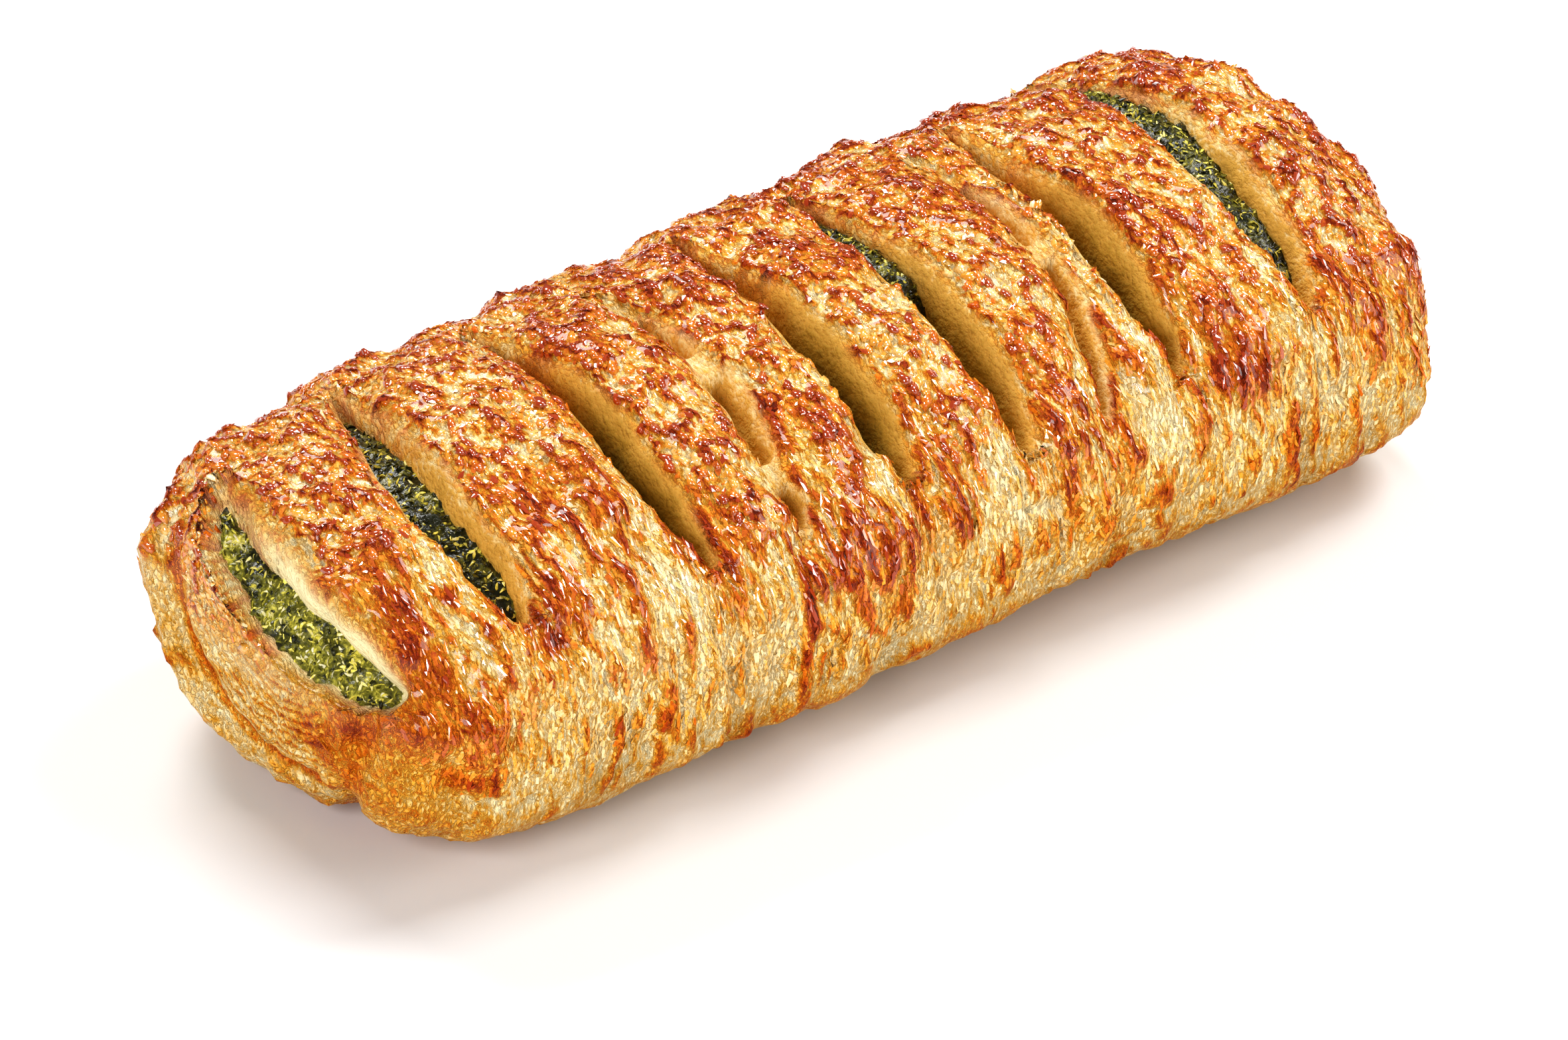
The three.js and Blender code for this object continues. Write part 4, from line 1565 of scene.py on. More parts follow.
@dataclass(frozen=True)
class Browning:
    """How brown the crust is, 0 raw and 1 scorched, with painted shade and highlights: what each kind of
    surface adds.
    """

    lips: Lips = field(default_factory=Lips)
    plain: float = 0.22
    blotches: Pattern = Pattern(10.0, 83.0, 0.07)
    top: float = 0.355
    top_spots: Pattern = Pattern(4.6, 87.0, 0.13)
    top_tone: float = 0.2
    grain: float = -0.32
    crevice: float = 0.34
    top_pit: float = 0.32
    flank: float = -0.05
    flank_pit: float = 0.25
    flank_spots: Pattern = Pattern(6.0, 101.0, 0.1)
    low_flank: Ease = Ease(70.0, 92.0, 0.0, -0.14)
    bars: Streaks = Streaks(3.2, 15.0, 41.0)
    bar_rib: float = 0.6
    bar_edge: Ease = Ease(0.3, 0.95)
    bar_angle: Ease = Ease(98.0, 62.0)
    bar: float = 0.2
    streak: float = -0.13
    hollow: float = 0.16
    wrinkle_edge: Ease = Ease(0.05, 0.6)
    wrinkle_angle: Ease = Ease(104.0, 80.0)
    wrinkle: float = 0.11
    corner: float = 0.05
    far_x: Ease = Ease(62.0, 74.0)
    far_spots: Pattern = Pattern(7.0, 103.0, 0.3)
    # Painted highlight on the near lips of the slits.
    lip_highlight: float = -0.4
    lip_streak: float = 0.5
    heel: Bell = Bell(108.0, 6.0, 0.1)
    patch_tone: Range = (0.75, 0.5)
    patch_top: float = 0.65
    ridge: float = 0.15
    crease: float = 0.1
    groove: Bell = Bell(1.0, 0.045, 0.36)
    rim: Ease = Ease(1.05, 1.1, 0.0, 0.2)
    flap: float = -0.06
    knob: float = -0.5
    dark_limit: float = 0.72
    dark_slope: float = 0.5
    pale_limit: float = 0.1
    pale_slope: float = 0.3

    def on_top(self, laid: Laid) -> Array:
        """What the plain crust and its grainy top add.

        Args:
            laid: The points, with their zones and relief.

        Returns:
            How brown they are, with painted highlights on grain tops and ridges and painted shade in crevices
            and pits.
        """
        base, zone, relief = laid.base, laid.zone, laid.relief
        blotch = self.blotches.lumps(base)
        spots = self.top_spots.lumps(base) + self.top_tone * (relief["tone"] - 0.5)
        # Higher grains are made lighter: a painted highlight.
        top = zone["top"] * (self.top + blotch + spots + self.grain * relief["grains"])
        # Crevices and pits are darkened as painted shade, and ridges lightened as a painted highlight.
        pits = relief["pits"] * np.maximum(self.top_pit * zone["top"], self.flank_pit * zone["flank"])
        return self.plain + blotch + top + self.crevice * relief["crevice"] + pits

    def on_flank(self, laid: Laid) -> Array:
        """What the flaky flanks add.

        Args:
            laid: The points, with their zones and relief.

        Returns:
            How brown they are, with painted shade in the streaks' hollows.
        """
        x, angle, turn = laid.base[..., 0], laid.angle, np.abs(laid.angle)
        bars = self.bars.at(x, np.radians(angle) * ARC_RADIUS) + self.bar_rib * self.lips.rib(x, angle)
        bars = self.bar_edge(bars) * self.bar_angle(turn)
        exposed = self.wrinkle_edge(laid.surface.wrinkle(x, angle))
        exposed = exposed * self.wrinkle_angle(turn)
        broad = self.flank + self.low_flank(turn) + self.bar * bars
        spots = self.wrinkle * exposed + self.flank_spots.lumps(laid.base)
        # The streaks' hollows are darkened: painted shade.
        lines = self.streak * laid.relief["streak"] + self.hollow * laid.relief["hollow"]
        return laid.zone["flank"] * (broad + spots + lines)

    def on_ends(self, laid: Laid) -> Array:
        """What the near end's folds, its corner and the far end add.

        Args:
            laid: The points, with their zones.

        Returns:
            How brown they are.
        """
        folds, base, zone = laid.surface.folds, laid.base, laid.zone
        ring = folds.ring(base)
        creased = self.ridge * folds.ridge(base, laid.angle) + self.crease * folds.crease(base)
        flap = self.flap + self.groove(ring) + self.rim(ring)
        far = self.far_x(base[..., 0]) * self.far_spots.lumps(base)
        ends = zone["near"] * creased + zone["flap"] * flap + (1.0 - zone["top"]) * far
        return ends + self.corner * zone["corner"]

    def browning_and_painted_light(self, laid: Laid) -> Array:
        """How brown the crust is, with painted shade in its crevices, pits and streak hollows and painted
        highlights on grain tops, ridges and near lips.

        Args:
            laid: The points, with their zones and relief.

        Returns:
            One number for each point, with what is very dark or very pale brought nearer to the rest.
        """
        base, angle, zone, relief = laid.base, laid.angle, laid.zone, laid.relief
        least, more = self.patch_tone
        patches = sum(patch.strength * patch.share(base) for patch in PATCHES)
        patches = patches * (least + more * relief["tone"]) * (1.0 - self.patch_top * zone["top"])
        # The near lips get a painted highlight, broken by the streaks.
        lips = self.lips.pale(base[..., 0], angle) * (1.0 - self.lip_streak * np.abs(relief["streak"]))
        share = self.on_top(laid) + self.on_flank(laid) + self.on_ends(laid) + patches
        share = share + self.lip_highlight * lips + self.heel(np.abs(angle)) + self.knob * relief["knobs"]
        share = np.minimum(share, self.dark_limit + self.dark_slope * (share - self.dark_limit))
        return np.maximum(share, self.pale_limit + self.pale_slope * (share - self.pale_limit))


@dataclass
class Crust:
    """Baked crust of the roll, one closed skin that runs down into the slits and the end gap."""

    surface: Surface
    finish: CrustFinish = field(default_factory=CrustFinish)
    zones: Zones = field(default_factory=Zones)
    texture: Texture = field(default_factory=Texture)
    browning: Browning = field(default_factory=Browning)
    front_rows: int = 150
    base_rows: int = 30
    back_rows: int = 40
    row_edges: tuple[float, ...] = (-46.0, 112.0, 256.0, 314.0)
    row_samples: int = 400
    slit_columns: int = 32
    fine_slit_columns: int = 20
    fine_slit: float = 4.0
    slit_margin: float = 1.2
    rib_spacing: float = 0.68
    least_columns: int = 5
    near_run: float = 34.0
    far_run: float = 26.0
    samples: int = 2600
    wall_shade_range: Range = (0.14, 0.86)
    wall_depth: float = 8.0
    wall_angle: Ease = Ease(-50.0, 40.0)
    lining_edge: Range = (0.3, 1.6)
    lining_near: float = 1.4
    lining_share: Ease = Ease(-25.0, 15.0, 0.4, 0.6)
    sole_level: Ease = Ease(9.0, 5.0)
    sole_lines: float = 0.6
    least_sole: float = 0.01
    flap_lines: Ease = Ease(1.12, 1.02)
    line_breaks: Pattern = Pattern(5.0, 95.0)
    line_break_edge: Ease = Ease(-0.5, 0.4)
    line_waves: Pattern = Pattern(3.6, 91.0, 0.7)
    clear_edge: Ease = Ease(0.1, 0.6)
    glaze_angle: Ease = Ease(94.0, 62.0)
    flake_angle: Ease = Ease(102.0, 92.0)

    def rows(self) -> Array:
        """Angles of the rows of points round the roll, close together where the crust shows most."""
        counts = (self.front_rows, self.base_rows, self.back_rows)
        turns = []
        for start, end, count in zip(self.row_edges, self.row_edges[1:], counts, strict=False):
            fine = np.linspace(start, end, self.row_samples)
            run = run_along(self.surface.roll.points(np.zeros(self.row_samples), fine))
            turns.append(np.interp(np.linspace(0.0, run[-1], count, endpoint=False), run, fine))
        angle = np.concatenate(turns)
        return np.where(angle > HALF_TURN, angle - 2.0 * HALF_TURN, angle)

    def blocks(self) -> tuple[list[int], list[float]]:
        """Numbers of columns in each rib and slit, and each slit's half width with its lips."""
        halves = [slit.width / 2 + self.slit_margin for slit in SLITS]
        counts = []
        left = -self.surface.roll.length / 2 - self.near_run
        for slit, half in zip(SLITS, halves, strict=True):
            counts.append(max(self.least_columns, round((slit.x - half - left) / self.rib_spacing)))
            counts.append(self.slit_columns if slit.width > self.fine_slit else self.fine_slit_columns)
            left = slit.x + half
        counts.append(round((self.surface.roll.length / 2 + self.far_run - left) / self.rib_spacing))
        return counts, halves

    def skin(self) -> tuple[Array, Array, Array]:
        """Lays the columns of points along each row, evenly over ribs and down the walls of the slits.

        Returns:
            Points with the bulk relief, the same points on the smooth roll, and their angles.
        """
        roll = self.surface.roll
        x = roll.stations(self.samples)
        angle = self.rows()[:, None] + np.zeros((1, self.samples))
        smooth = roll.points(x[None, :], angle)
        height = self.surface.bulk(smooth, angle) - self.surface.slit_cut(smooth, angle)
        lifted = smooth + roll.normals(smooth) * height[..., None]
        counts, halves = self.blocks()
        index = np.arange(self.samples)
        points, bases = [], []
        for row in range(len(angle)):
            run = run_along(lifted[row])
            marks = [0.0]
            for slit, half in zip(SLITS, halves, strict=True):
                middle = float(slit.centre(angle[row, 0]))
                marks += [np.interp(middle - half, x, run), np.interp(middle + half, x, run)]
            marks.append(run[-1])
            blocks = zip(marks, marks[1:], counts, strict=False)
            spots = [np.linspace(start, end, count, endpoint=False) for start, end, count in blocks]
            at = np.interp(np.concatenate([*spots, [run[-1]]])[1:-1], run, index)
            for line, found in ((lifted[row], points), (smooth[row], bases)):
                found.append(np.stack([np.interp(at, index, line[:, axis]) for axis in range(3)], axis=-1))
        return np.array(points), np.array(bases), angle[:, : len(points[0])]

    def build(self) -> Piece:
        """Makes the crust's mesh with its fine relief and the numbers that its finish reads."""
        points, base, angle = self.skin()
        laid = Laid(self.surface, points, base, angle, self.surface.slit_cut(base, angle))
        laid.zone = self.zones.shares(laid)
        laid.relief = self.texture.relief(laid)
        laid.points = points + grid_normals(points) * laid.relief["fine"][..., None]
        laid.relief["pits"] = self.texture.pits(laid.points) * laid.zone["outer"]
        masks = {"browning_and_painted_light": self.browning.browning_and_painted_light(laid)}
        masks |= self.walls(laid) | self.lines(laid) | self.beds(laid)
        piece = tube_piece("crust", laid.points, self.surface.roll, masks)
        merge_flat(piece)
        return piece

    def walls(self, laid: Laid) -> Masks:
        """Numbers that colour the walls of the openings.

        Args:
            laid: The points, with their zones.

        Returns:
            inside, which is how dark they are, mostly painted shade that deepens down the walls, and lining,
            which is where they are, by name.
        """
        angle, cut, near = laid.angle, laid.cut, laid.zone["near"]
        least, more = self.wall_shade_range
        # The walls darken with depth, more for some slits than for others: painted shade.
        deep = np.clip(cut / self.wall_depth, 0.0, 1.0) * self.wall_angle(angle)
        dark = (1.0 - near) * self.surface.wall_shading(laid.base, angle)
        start, end = self.lining_edge
        lining = smoothstep(cut, start, end + self.lining_near * near)
        lining = lining * self.lining_share(angle)
        return {"inside": (least + more * deep) * dark, "lining": lining}

    def lines(self, laid: Laid) -> Masks:
        """Numbers that place the fine lines of the pastry's layers.

        Args:
            laid: The points, with their zones.

        Returns:
            layer, which counts them, and layered, which is how strong they are, by name.
        """
        folds, base, z = self.surface.folds, laid.base, laid.base[..., 2]
        ring, sole = folds.ring(base), self.sole_level(z)
        broken = self.line_break_edge(self.line_breaks.lumps(base))
        flap = laid.zone["flap"] * self.flap_lines(ring) * broken
        layer = np.where(sole > self.least_sole, z, ring * folds.flap_width)
        layer = layer + self.line_waves.lumps(base)
        return {"layer": layer, "layered": np.maximum(flap, self.sole_lines * sole)}

    def beds(self, laid: Laid) -> Masks:
        """Where the crust is glazed, and where grains and flakes are strewn.

        Args:
            laid: The points, with their zones.

        Returns:
            glaze, grain_bed and flake_bed, by name.
        """
        clear, turn = 1.0 - self.clear_edge(laid.cut), np.abs(laid.angle)
        return {
            "glaze": clear * self.glaze_angle(turn),
            "grain_bed": clear * laid.zone["top"],
            "flake_bed": clear * laid.zone["flank"] * self.flake_angle(turn),
        }

    def dress(self, piece: Piece) -> None:
        """Gives the crust its finish, hangs it under the root and hides the solid that it stands for."""
        piece.data.materials.append(self.finish.make())
        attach(piece, "root")
        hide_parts(Node.PASTRY.value)


@dataclass
class Filling:
    """Spinach filling that runs through the roll and shows in its openings."""

    surface: Surface
    finish: FillingFinish = field(default_factory=FillingFinish)
    rows: int = 130
    columns: int = 330
    row_crowding: float = 30.0
    under_level: Ease = Ease(20.0, 10.0)
    under_depth: float = 5.5
    chunks: Pattern = Pattern(2.1, 9.0)
    chunk_height: float = 0.9
    bits: Pattern = Pattern(1.1, 19.0)
    bit_height: float = 0.4
    mean_height: float = 0.6
    paleness: float = 0.24
    chunk_tone: float = 0.36
    chunk_top: float = 0.18
    shown_cut: Ease = Ease(2.0, 4.0)
    shown_depth: Ease = Ease(7.0, 6.0)
    gap_end: Ease = Ease(-66.0, -60.0)
    gap_middle: float = -12.0
    gap_tips: Ease = Ease(3.0, 12.0)
    gap_lit: float = 0.3
    tip_dim: float = 0.95
    dim_spots: Pattern = Pattern(4.5, 57.0, 0.8)

    def build(self) -> Piece:
        """Makes the filling's lumpy core, with the numbers that its finish and its shreds read."""
        roll = self.surface.roll
        turn = np.linspace(-HALF_TURN, HALF_TURN, self.rows, endpoint=False)
        turn = turn - self.row_crowding * np.sin(np.radians(turn))
        angle = turn[:, None] + np.zeros((1, self.columns))
        smooth = roll.points(roll.stations(self.columns + 2)[None, 1:-1], angle)
        depth = self.surface.filling_depth(smooth)
        under = self.under_level(smooth[..., 2])
        sunk = depth * (1.0 - under) + self.under_depth * under
        core = smooth - roll.normals(smooth) * sunk[..., None]
        chunks, tone = self.chunks.pebbles(core)
        bits, _ = self.bits.pebbles(core)
        rough = self.chunk_height * (chunks - self.mean_height) + self.bit_height * (bits - self.mean_height)
        core = core + grid_normals(core) * rough[..., None]
        pale = self.paleness + self.chunk_tone * (tone - 0.5) + self.chunk_top * (chunks - self.mean_height)
        masks = {"pale": pale, "dim": self.dim(smooth), "leaf_bed": self.shown(smooth, angle, depth)}
        return tube_piece("spinach_core", core, roll, masks)

    def dim(self, points: Array) -> Array:
        """How much painted shade darkens the filling: fully in the slits, and in spots and at the tips in the
        end gap.

        Args:
            points: Points on the smooth roll.

        Returns:
            One number for each point, about 0 to 1.
        """
        slits = self.gap_end(points[..., 0])
        tips = self.gap_tips(np.abs(points[..., 1] - self.gap_middle))
        gap = self.tip_dim * tips - self.gap_lit + self.dim_spots.lumps(points)
        return slits + (1.0 - slits) * gap

    def shown(self, points: Array, angle: Array, depth: Array) -> Array:
        """Where the filling shows in the openings.

        Args:
            points: Points on the smooth roll.
            angle: Their angles.
            depth: How deep the filling lies there.

        Returns:
            Shares from 0 to 1.
        """
        cut = self.surface.slit_cut(points, angle)
        return self.shown_cut(cut) * self.shown_depth(depth)

    def dress(self, piece: Piece) -> None:
        """Gives the filling its finish, hangs it under the root and hides the solid that it stands for."""
        piece.data.materials.append(self.finish.make("chopped_spinach", "pale"))
        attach(piece, "root")
        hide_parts(Node.FILLING.value)


@dataclass(frozen=True)
class Dome:
    """Small uneven dome about one unit in radius, with a number that rises from its foot to its top.

    The rings give the radius and the height of each ring of points, from the foot up.
    """

    name: str
    seed: int
    sides: int
    rings: tuple[Range, ...]
    foot: float = -0.25
    stray: float = 0.5
    reach: Range = (0.55, 1.25)
    stretch: Range = (0.6, 1.3)

    def faces(self) -> list[tuple[int, ...]]:
        """Corner numbers of the faces."""
        last = 1 + self.sides * len(self.rings)
        top = last - self.sides
        faces = []
        for step in range(self.sides):
            ahead = (step + 1) % self.sides
            faces.append((0, 1 + ahead, 1 + step))
            for ring in range(1, top, self.sides):
                above = ring + self.sides
                faces.append((ring + step, ring + ahead, above + ahead, above + step))
            faces.append((top + step, top + ahead, last))
        return faces

    def make(self, number: int) -> Piece:
        """Makes one dome.

        Args:
            number: Picks its unevenness.

        Returns:
            The shape.
        """
        rng = np.random.default_rng(self.seed + number)
        points, rise = [(0.0, 0.0, self.foot)], [0.0]
        for radius, height in self.rings:
            for step in range(self.sides):
                turn = 2.0 * np.pi * (step + self.stray * rng.uniform()) / self.sides
                reach = radius * rng.uniform(*self.reach)
                tall = height * rng.uniform(*self.stretch)
                points.append((reach * np.cos(turn), reach * np.sin(turn), tall))
                rise.append(height)
        points.append((0.0, 0.0, 1.0))
        rise.append(1.0)
        return make_piece(f"{self.name}_{number}", np.array(points), self.faces(), {"rise": np.array(rise)})


@dataclass(frozen=True)
class Strip:
    """Small curled strip about two units long, with a number that rises along it."""

    name: str
    seed: int
    steps: int = 5
    curl: Range = (0.1, 0.5)
    wave: Range = (0.0, 6.0)
    bend: Range = (-0.4, 0.4)
    half_width: float = 0.34
    tip_narrowing: float = 0.7
    width_spread: Range = (0.7, 1.2)
    wave_height: float = 0.14
    wave_turn: float = 3.0
    half_thickness: float = 0.07
    lean: float = 0.25

    def make(self, number: int) -> Piece:
        """Makes one strip.

        Args:
            number: Picks its curl.

        Returns:
            The shape.
        """
        rng = np.random.default_rng(self.seed + number)
        curl, wave, bend = rng.uniform(*self.curl), rng.uniform(*self.wave), rng.uniform(*self.bend)
        thick = self.half_thickness
        points, rise = [], []
        for along in np.linspace(-1.0, 1.0, self.steps + 1):
            half = self.half_width * (1.0 - self.tip_narrowing * abs(along) ** 3)
            half = half * rng.uniform(*self.width_spread)
            lift = curl * along * along + self.wave_height * np.sin(self.wave_turn * along + wave)
            side = bend * along * along
            for across, up in ((-half, -thick), (half, -thick), (half, thick), (-half, thick)):
                points.append((along, side + across, lift + up + self.lean * across))
                rise.append(0.5 + 0.5 * along)
        last = 4 * self.steps
        faces = [(3, 2, 1, 0), (last, last + 1, last + 2, last + 3)]
        for first in range(0, last, 4):
            for corner in range(4):
                ahead = (corner + 1) % 4
                faces.append((first + corner, first + ahead, first + 4 + ahead, first + 4 + corner))
        return make_piece(f"{self.name}_{number}", np.array(points), faces, {"rise": np.array(rise)})


STREW_INPUTS = dict.fromkeys(("Bed", "Shape 1", "Shape 2", "Shape 3"), "Object")
STREW_INPUTS |= dict.fromkeys(("Spacing", "Smallest", "Largest", "Sink", "Spin", "Tilt"), "Float")
STREW_INPUTS |= {"Stretch": "Vector", "Seed": "Int", "Finish": "Material"}


@dataclass(frozen=True)
class Strewn:
    """Small shapes strewn over a piece, one in each place that its bed allows."""

    name: str
    bed: str
    spacing: float
    smallest: float
    largest: float
    stretch: Triple
    sink: float
    spin: float
    tilt: float
    seed: int
    smooth: bool = True
    density: float = 4.0e6

    def spots(self, tree: Tree, given: Sockets) -> bpy.types.Node:
        """Spreads the places for the shapes over the bed.

        Args:
            tree: The tree.
            given: Outputs of its input node.

        Returns:
            The node that spreads them.
        """
        bed = tree.node("GeometryNodeObjectInfo", transform_space="RELATIVE")
        tree.put(bed.inputs["Object"], given["Bed"])
        mask = tree.node("GeometryNodeInputNamedAttribute", data_type="FLOAT")
        mask.inputs["Name"].default_value = self.bed
        spots = tree.node("GeometryNodeDistributePointsOnFaces", distribute_method="POISSON")
        tree.put(spots.inputs["Mesh"], bed.outputs["Geometry"])
        tree.put(spots.inputs["Distance Min"], given["Spacing"])
        spots.inputs["Density Max"].default_value = self.density
        tree.put(spots.inputs["Density Factor"], mask.outputs["Attribute"])
        tree.put(spots.inputs["Seed"], given["Seed"])
        return spots

    def turn(self, tree: Tree, given: Sockets, normal: Socket) -> Socket:
        """Stands each shape on the surface, lengthwise round the roll, with a random spin and tilt.

        Args:
            tree: The tree.
            given: Outputs of its input node.
            normal: Normal of the surface.

        Returns:
            The rotation.
        """
        upright = tree.node("FunctionNodeAlignRotationToVector", axis="Z")
        tree.put(upright.inputs["Vector"], normal)
        along = tree.node("FunctionNodeAlignRotationToVector", axis="X", pivot_axis="Z")
        tree.put(along.inputs["Rotation"], upright.outputs[0])
        tree.put(along.inputs["Vector"], tree.vector("CROSS_PRODUCT", (1.0, 0.0, 0.0), normal))
        angles = tree.node("ShaderNodeCombineXYZ")
        limits = (("X", "Tilt", Draw.TILT_X), ("Y", "Tilt", Draw.TILT_Y), ("Z", "Spin", Draw.SPIN))
        for axis, limit, draw in limits:
            span = tree.math("RADIANS", given[limit])
            tree.put(angles.inputs[axis], tree.times(span, tree.random("FLOAT", -1.0, 1.0, draw)))
        turned = tree.node("FunctionNodeRotateRotation", rotation_space="LOCAL")
        tree.put(turned.inputs[0], along.outputs[0])
        tree.put(turned.inputs[1], angles.outputs[0])
        return turned.outputs[0]

    def placed(self, tree: Tree, given: Sockets) -> Socket:
        """Puts one of the three shapes, in a random size, in each place and sinks it a little.

        Args:
            tree: The tree.
            given: Outputs of its input node.

        Returns:
            The shapes.
        """
        spots = self.spots(tree, given)
        shapes = tree.node("GeometryNodeJoinGeometry")
        for number in (3, 2, 1):
            shape = tree.node("GeometryNodeObjectInfo", transform_space="ORIGINAL")
            tree.put(shape.inputs["Object"], given[f"Shape {number}"])
            shape.inputs["As Instance"].default_value = True
            tree.put(shapes.inputs[0], shape.outputs["Geometry"])
        placed = tree.node("GeometryNodeInstanceOnPoints")
        tree.put(placed.inputs["Points"], spots.outputs["Points"])
        tree.put(placed.inputs["Instance"], shapes.outputs[0])
        placed.inputs["Pick Instance"].default_value = True
        tree.put(placed.inputs["Instance Index"], tree.random("INT", 0, 2, Draw.SHAPE))
        tree.put(placed.inputs["Rotation"], self.turn(tree, given, spots.outputs["Normal"]))
        scale = tree.node("ShaderNodeVectorMath", operation="SCALE")
        tree.put(scale.inputs[0], given["Stretch"])
        size = tree.random("FLOAT", given["Smallest"], given["Largest"], Draw.SIZE)
        tree.put(scale.inputs["Scale"], size)
        tree.put(placed.inputs["Scale"], scale.outputs[0])
        down = tree.node("ShaderNodeCombineXYZ")
        tree.put(down.inputs["Z"], tree.times(given["Sink"], -1.0))
        sunk = tree.node("GeometryNodeTranslateInstances")
        tree.put(sunk.inputs["Instances"], placed.outputs[0])
        tree.put(sunk.inputs["Translation"], down.outputs[0])
        return sunk.outputs[0]

    def tree(self) -> tuple[bpy.types.NodeTree, dict[str, str]]:
        """Builds the tree that strews three shapes.

        Returns:
            The tree, and the identifier of each of its inputs by name.
        """
        group = bpy.data.node_groups.new(self.name, "GeometryNodeTree")
        face = group.interface
        face.new_socket("Geometry", in_out="OUTPUT", socket_type="NodeSocketGeometry")
        names = {}
        for name, kind in STREW_INPUTS.items():
            item = face.new_socket(name, in_out="INPUT", socket_type=f"NodeSocket{kind}")
            names[name] = item.identifier
        tree = Tree(group)
        given = tree.node("NodeGroupInput").outputs
        toned = tree.node("GeometryNodeStoreNamedAttribute", data_type="FLOAT", domain="INSTANCE")
        tree.put(toned.inputs["Geometry"], self.placed(tree, given))
        toned.inputs["Name"].default_value = "tone"
        tree.put(toned.inputs["Value"], tree.random("FLOAT", 0.0, 1.0, Draw.TONE))
        whole = tree.node("GeometryNodeRealizeInstances")
        tree.put(whole.inputs[0], toned.outputs[0])
        finish = tree.node("GeometryNodeSetMaterial")
        tree.put(finish.inputs["Geometry"], whole.outputs[0])
        tree.put(finish.inputs["Material"], given["Finish"])
        tree.put(tree.node("NodeGroupOutput").inputs[0], finish.outputs[0])
        return group, names

    def strew(self, bed: Piece, shapes: Sequence[Piece], finish: Finish) -> Piece:
        """Strews the shapes over a piece and makes one plain mesh of them.

        Args:
            bed: The piece.
            shapes: Three small shapes.
            finish: Their material.

        Returns:
            The new piece.
        """
        group, names = self.tree()
        piece = make_piece(self.name, np.zeros((0, 3)), [], {})
        live = piece.modifiers.new("strew", "NODES")
        live.node_group = group
        values = {"Bed": bed, "Shape 1": shapes[0], "Shape 2": shapes[1], "Shape 3": shapes[2]}
        values |= {"Spacing": self.spacing * MM, "Smallest": self.smallest * MM, "Largest": self.largest * MM}
        values |= {"Stretch": self.stretch, "Sink": self.sink, "Spin": self.spin, "Tilt": self.tilt}
        values |= {"Seed": self.seed, "Finish": finish}
        for name, value in values.items():
            live[names[name]] = value
        graph = bpy.context.evaluated_depsgraph_get()
        mesh = bpy.data.meshes.new_from_object(piece.evaluated_get(graph), depsgraph=graph)
        piece.modifiers.clear()
        piece.data = mesh
        mesh.polygons.foreach_set("use_smooth", np.full(len(mesh.polygons), self.smooth))
        return piece


@dataclass
class Crumbs:
    """Everything strewn on the crust and the filling."""

    dome: Dome = Dome("dome", 40, 7, ((1.0, 0.0), (0.85, 0.5), (0.5, 0.85)))
    pip: Dome = Dome("pip", 50, 5, ((1.0, 0.0), (0.7, 0.65)))
    shard: Dome = Dome("shard", 70, 4, ((1.0, 0.0),))
    strip: Strip = Strip("strip", 60)
    # Name, bed, spacing, smallest, largest, stretch, sink, spin, tilt, seed and whether it is smooth.
    grains: tuple[Strewn, ...] = (
        Strewn("cheese_grains", "grain_bed", 1.25, 0.32, 0.75, (1.5, 0.9, 0.6), 0.2, 35.0, 14.0, 3),
        Strewn("cheese_grit", "grain_bed", 0.74, 0.22, 0.46, (1.5, 0.9, 0.6), 0.1, 60.0, 18.0, 4, False),
        Strewn("pastry_flakes", "flake_bed", 1.15, 0.35, 0.75, (1.9, 0.45, 0.28), 0.2, 16.0, 16.0, 5, False),
        Strewn("pastry_shards", "flake_bed", 0.72, 0.26, 0.48, (2.0, 0.7, 0.26), 0.06, 25.0, 18.0, 6, False),
    )
    # How much browner than the bed their feet are, and how much lighter than the feet their tops are, as a
    # painted highlight.
    tones: tuple[Range, ...] = ((0.14, 0.5), (0.14, 0.46), (0.06, 0.34), (0.04, 0.3))
    bits: tuple[Strewn, ...] = (
        Strewn("spinach_shreds", "leaf_bed", 0.38, 0.3, 0.74, (1.0, 0.6, 1.0), 0.0, 180.0, 60.0, 7, False),
        Strewn("cheese_crumbs", "leaf_bed", 1.9, 0.25, 0.5, (1.2, 0.9, 0.9), 0.1, 180.0, 30.0, 9),
    )

    def build(self, crust: Piece, core: Piece) -> list[Piece]:
        """Strews the crumbs, hangs each under the root and hides the solid that it stands for.

        Args:
            crust: The crust.
            core: The filling's core.

        Returns:
            The new pieces.
        """
        kinds = (self.dome, self.pip, self.shard, self.strip)
        domes, pips, shards, strips = ([kind.make(number) for number in range(3)] for kind in kinds)
        pieces = []
        for strewn, shapes, tones in zip(self.grains, (domes, pips, pips, shards), self.tones, strict=True):
            pieces.append(strewn.strew(crust, shapes, GrainFinish().make(strewn.name, *tones)))
        leaves = FillingFinish().make("spinach_leaf", "tone")
        cheese = FillingFinish().make("cheese_crumb", "rise")
        for strewn, shapes, finish in zip(self.bits, (strips, domes), (leaves, cheese), strict=True):
            pieces.append(strewn.strew(core, shapes, finish))
        for number, piece in enumerate(pieces):
            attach(piece, "root")
            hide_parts((Node.PASTRY if number < len(self.grains) else Node.FILLING).value)
            (Slot.PASTRY if number < len(self.grains) else Slot.FILLING).value
        for shape in (*domes, *pips, *shards, *strips):
            bpy.data.objects.remove(shape)
        return pieces


@dataclass(frozen=True)
class FloorFinish:
    """Pale matt floor."""

    colour: Triple = (0.84, 0.83, 0.825)
    roughness: float = 0.8

    def make(self) -> Finish:
        """Builds the material."""
        made, _, shader = new_material("pale_floor")
        shader.inputs["Base Color"].default_value = (*self.colour, 1.0)
        shader.inputs["Roughness"].default_value = self.roughness
        return made


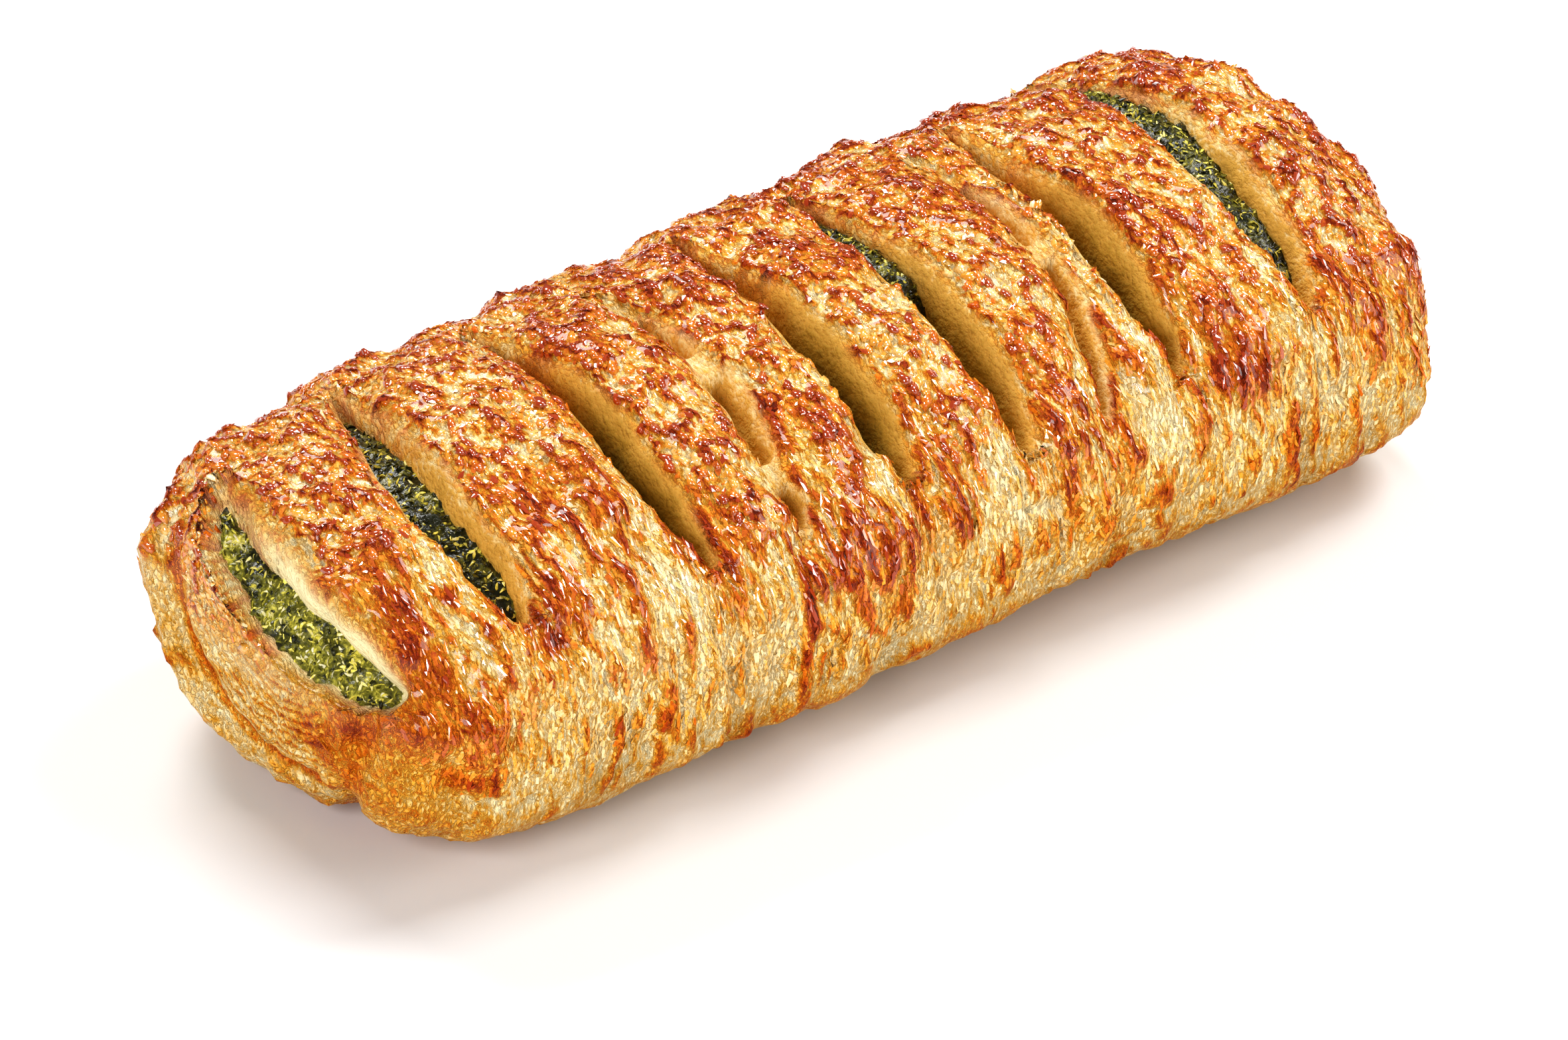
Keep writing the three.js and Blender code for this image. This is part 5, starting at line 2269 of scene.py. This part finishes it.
@dataclass(frozen=True)
class Lamp:
    """Square soft light that faces the roll: its place and side in metres, and its power in watts."""

    name: str
    place: Triple
    side: float
    power: float
    target: Triple = (0.0, 0.0, 0.02)

    def make(self) -> None:
        """Adds the light to the scene."""
        data = bpy.data.lights.new(self.name, "AREA")
        data.shape = "SQUARE"
        data.size = self.side
        data.energy = self.power
        made = bpy.data.objects.new(self.name, data)
        made.location = self.place
        made.rotation_mode = "QUATERNION"
        made.rotation_quaternion = (Vector(self.target) - Vector(self.place)).to_track_quat("-Z", "Y")
        bpy.context.scene.collection.objects.link(made)


@dataclass
class Studio:
    """Pale floor, soft lights and the camera."""

    finish: FloorFinish = field(default_factory=FloorFinish)
    floor_reach: float = 4.0
    surround: float = 0.12
    lamps: tuple[Lamp, ...] = (
        Lamp("key", (0.5, -0.1, 0.7), 0.36, 4.0),
        Lamp("glint", (0.5, -0.72, 0.42), 0.5, 3.5),
        Lamp("back", (0.1, 0.6, 0.7), 0.4, 6.0),
        Lamp("fill", (-0.8, -0.4, 0.55), 0.42, 6.5),
    )
    frame_width: float = 2363.0
    focal_pixels: float = 18773.0
    sensor: float = 36.0
    clip_start: float = 0.05
    azimuth: float = -39.33
    elevation: float = 33.0
    distance: float = 1400.0
    aim: Triple = (0.184, 0.365, 20.0)
    slide: Range = (0.05, -9.42)

    def floor(self) -> None:
        """Makes the floor."""
        sides = ((-1.0, -1.0), (1.0, -1.0), (1.0, 1.0), (-1.0, 1.0))
        corners = np.array([(self.floor_reach * x, self.floor_reach * y, 0.0) for x, y in sides])
        piece = make_piece("floor", corners, [(0, 1, 2, 3)], {})
        piece.data.materials.append(self.finish.make())

    def light(self) -> None:
        """Sets the lights and the even light all round."""
        world = bpy.data.worlds.new("studio")
        bpy.context.scene.world = world
        world.use_nodes = True
        even = world.node_tree.nodes["Background"]
        even.inputs["Color"].default_value = (1.0, 1.0, 1.0, 1.0)
        even.inputs["Strength"].default_value = self.surround
        for lamp in self.lamps:
            lamp.make()

    def camera(self) -> None:
        """Sets the camera at the photograph's viewing angle."""
        a, e = math.radians(self.azimuth), math.radians(self.elevation)
        back = Vector((math.sin(a) * math.cos(e), -math.cos(a) * math.cos(e), math.sin(e)))
        right = Vector((math.cos(a), math.sin(a), 0.0))
        up = back.cross(right)
        place = Vector(self.aim) + back * self.distance + right * self.slide[0] + up * self.slide[1]
        data = bpy.data.cameras.new("camera")
        data.sensor_width = self.sensor
        data.lens = self.sensor * self.focal_pixels / self.frame_width
        data.clip_start = self.clip_start
        made = bpy.data.objects.new("camera", data)
        turn = Matrix((right, up, back)).transposed().to_4x4()
        made.matrix_world = Matrix.Translation(place * MM) @ turn
        bpy.context.scene.collection.objects.link(made)
        bpy.context.scene.camera = made

    def build(self) -> None:
        """Sets the whole studio."""
        self.floor()
        self.light()
        self.camera()
        bpy.context.scene.view_settings.view_transform = "Standard"
        bpy.context.scene.view_settings.look = "Medium High Contrast"


def report(piece: Piece) -> None:
    """Logs a piece's name and number of triangles."""
    LOG.info("%s: %d triangles", piece.name, sum(len(f.vertices) - 2 for f in piece.data.polygons))


def main() -> None:
    """Builds and dresses the pieces in order, then sets the studio round them."""
    logging.basicConfig(level=logging.INFO, format="%(name)s: %(message)s")
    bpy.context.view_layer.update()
    surface = Surface()
    filling, crust = Filling(surface), Crust(surface)
    core, shell = filling.build(), crust.build()
    filling.dress(core)
    crust.dress(shell)
    for piece in (core, shell, *Crumbs().build(shell, core)):
        report(piece)
    Studio().build()


if __name__ == "__main__":
    main()
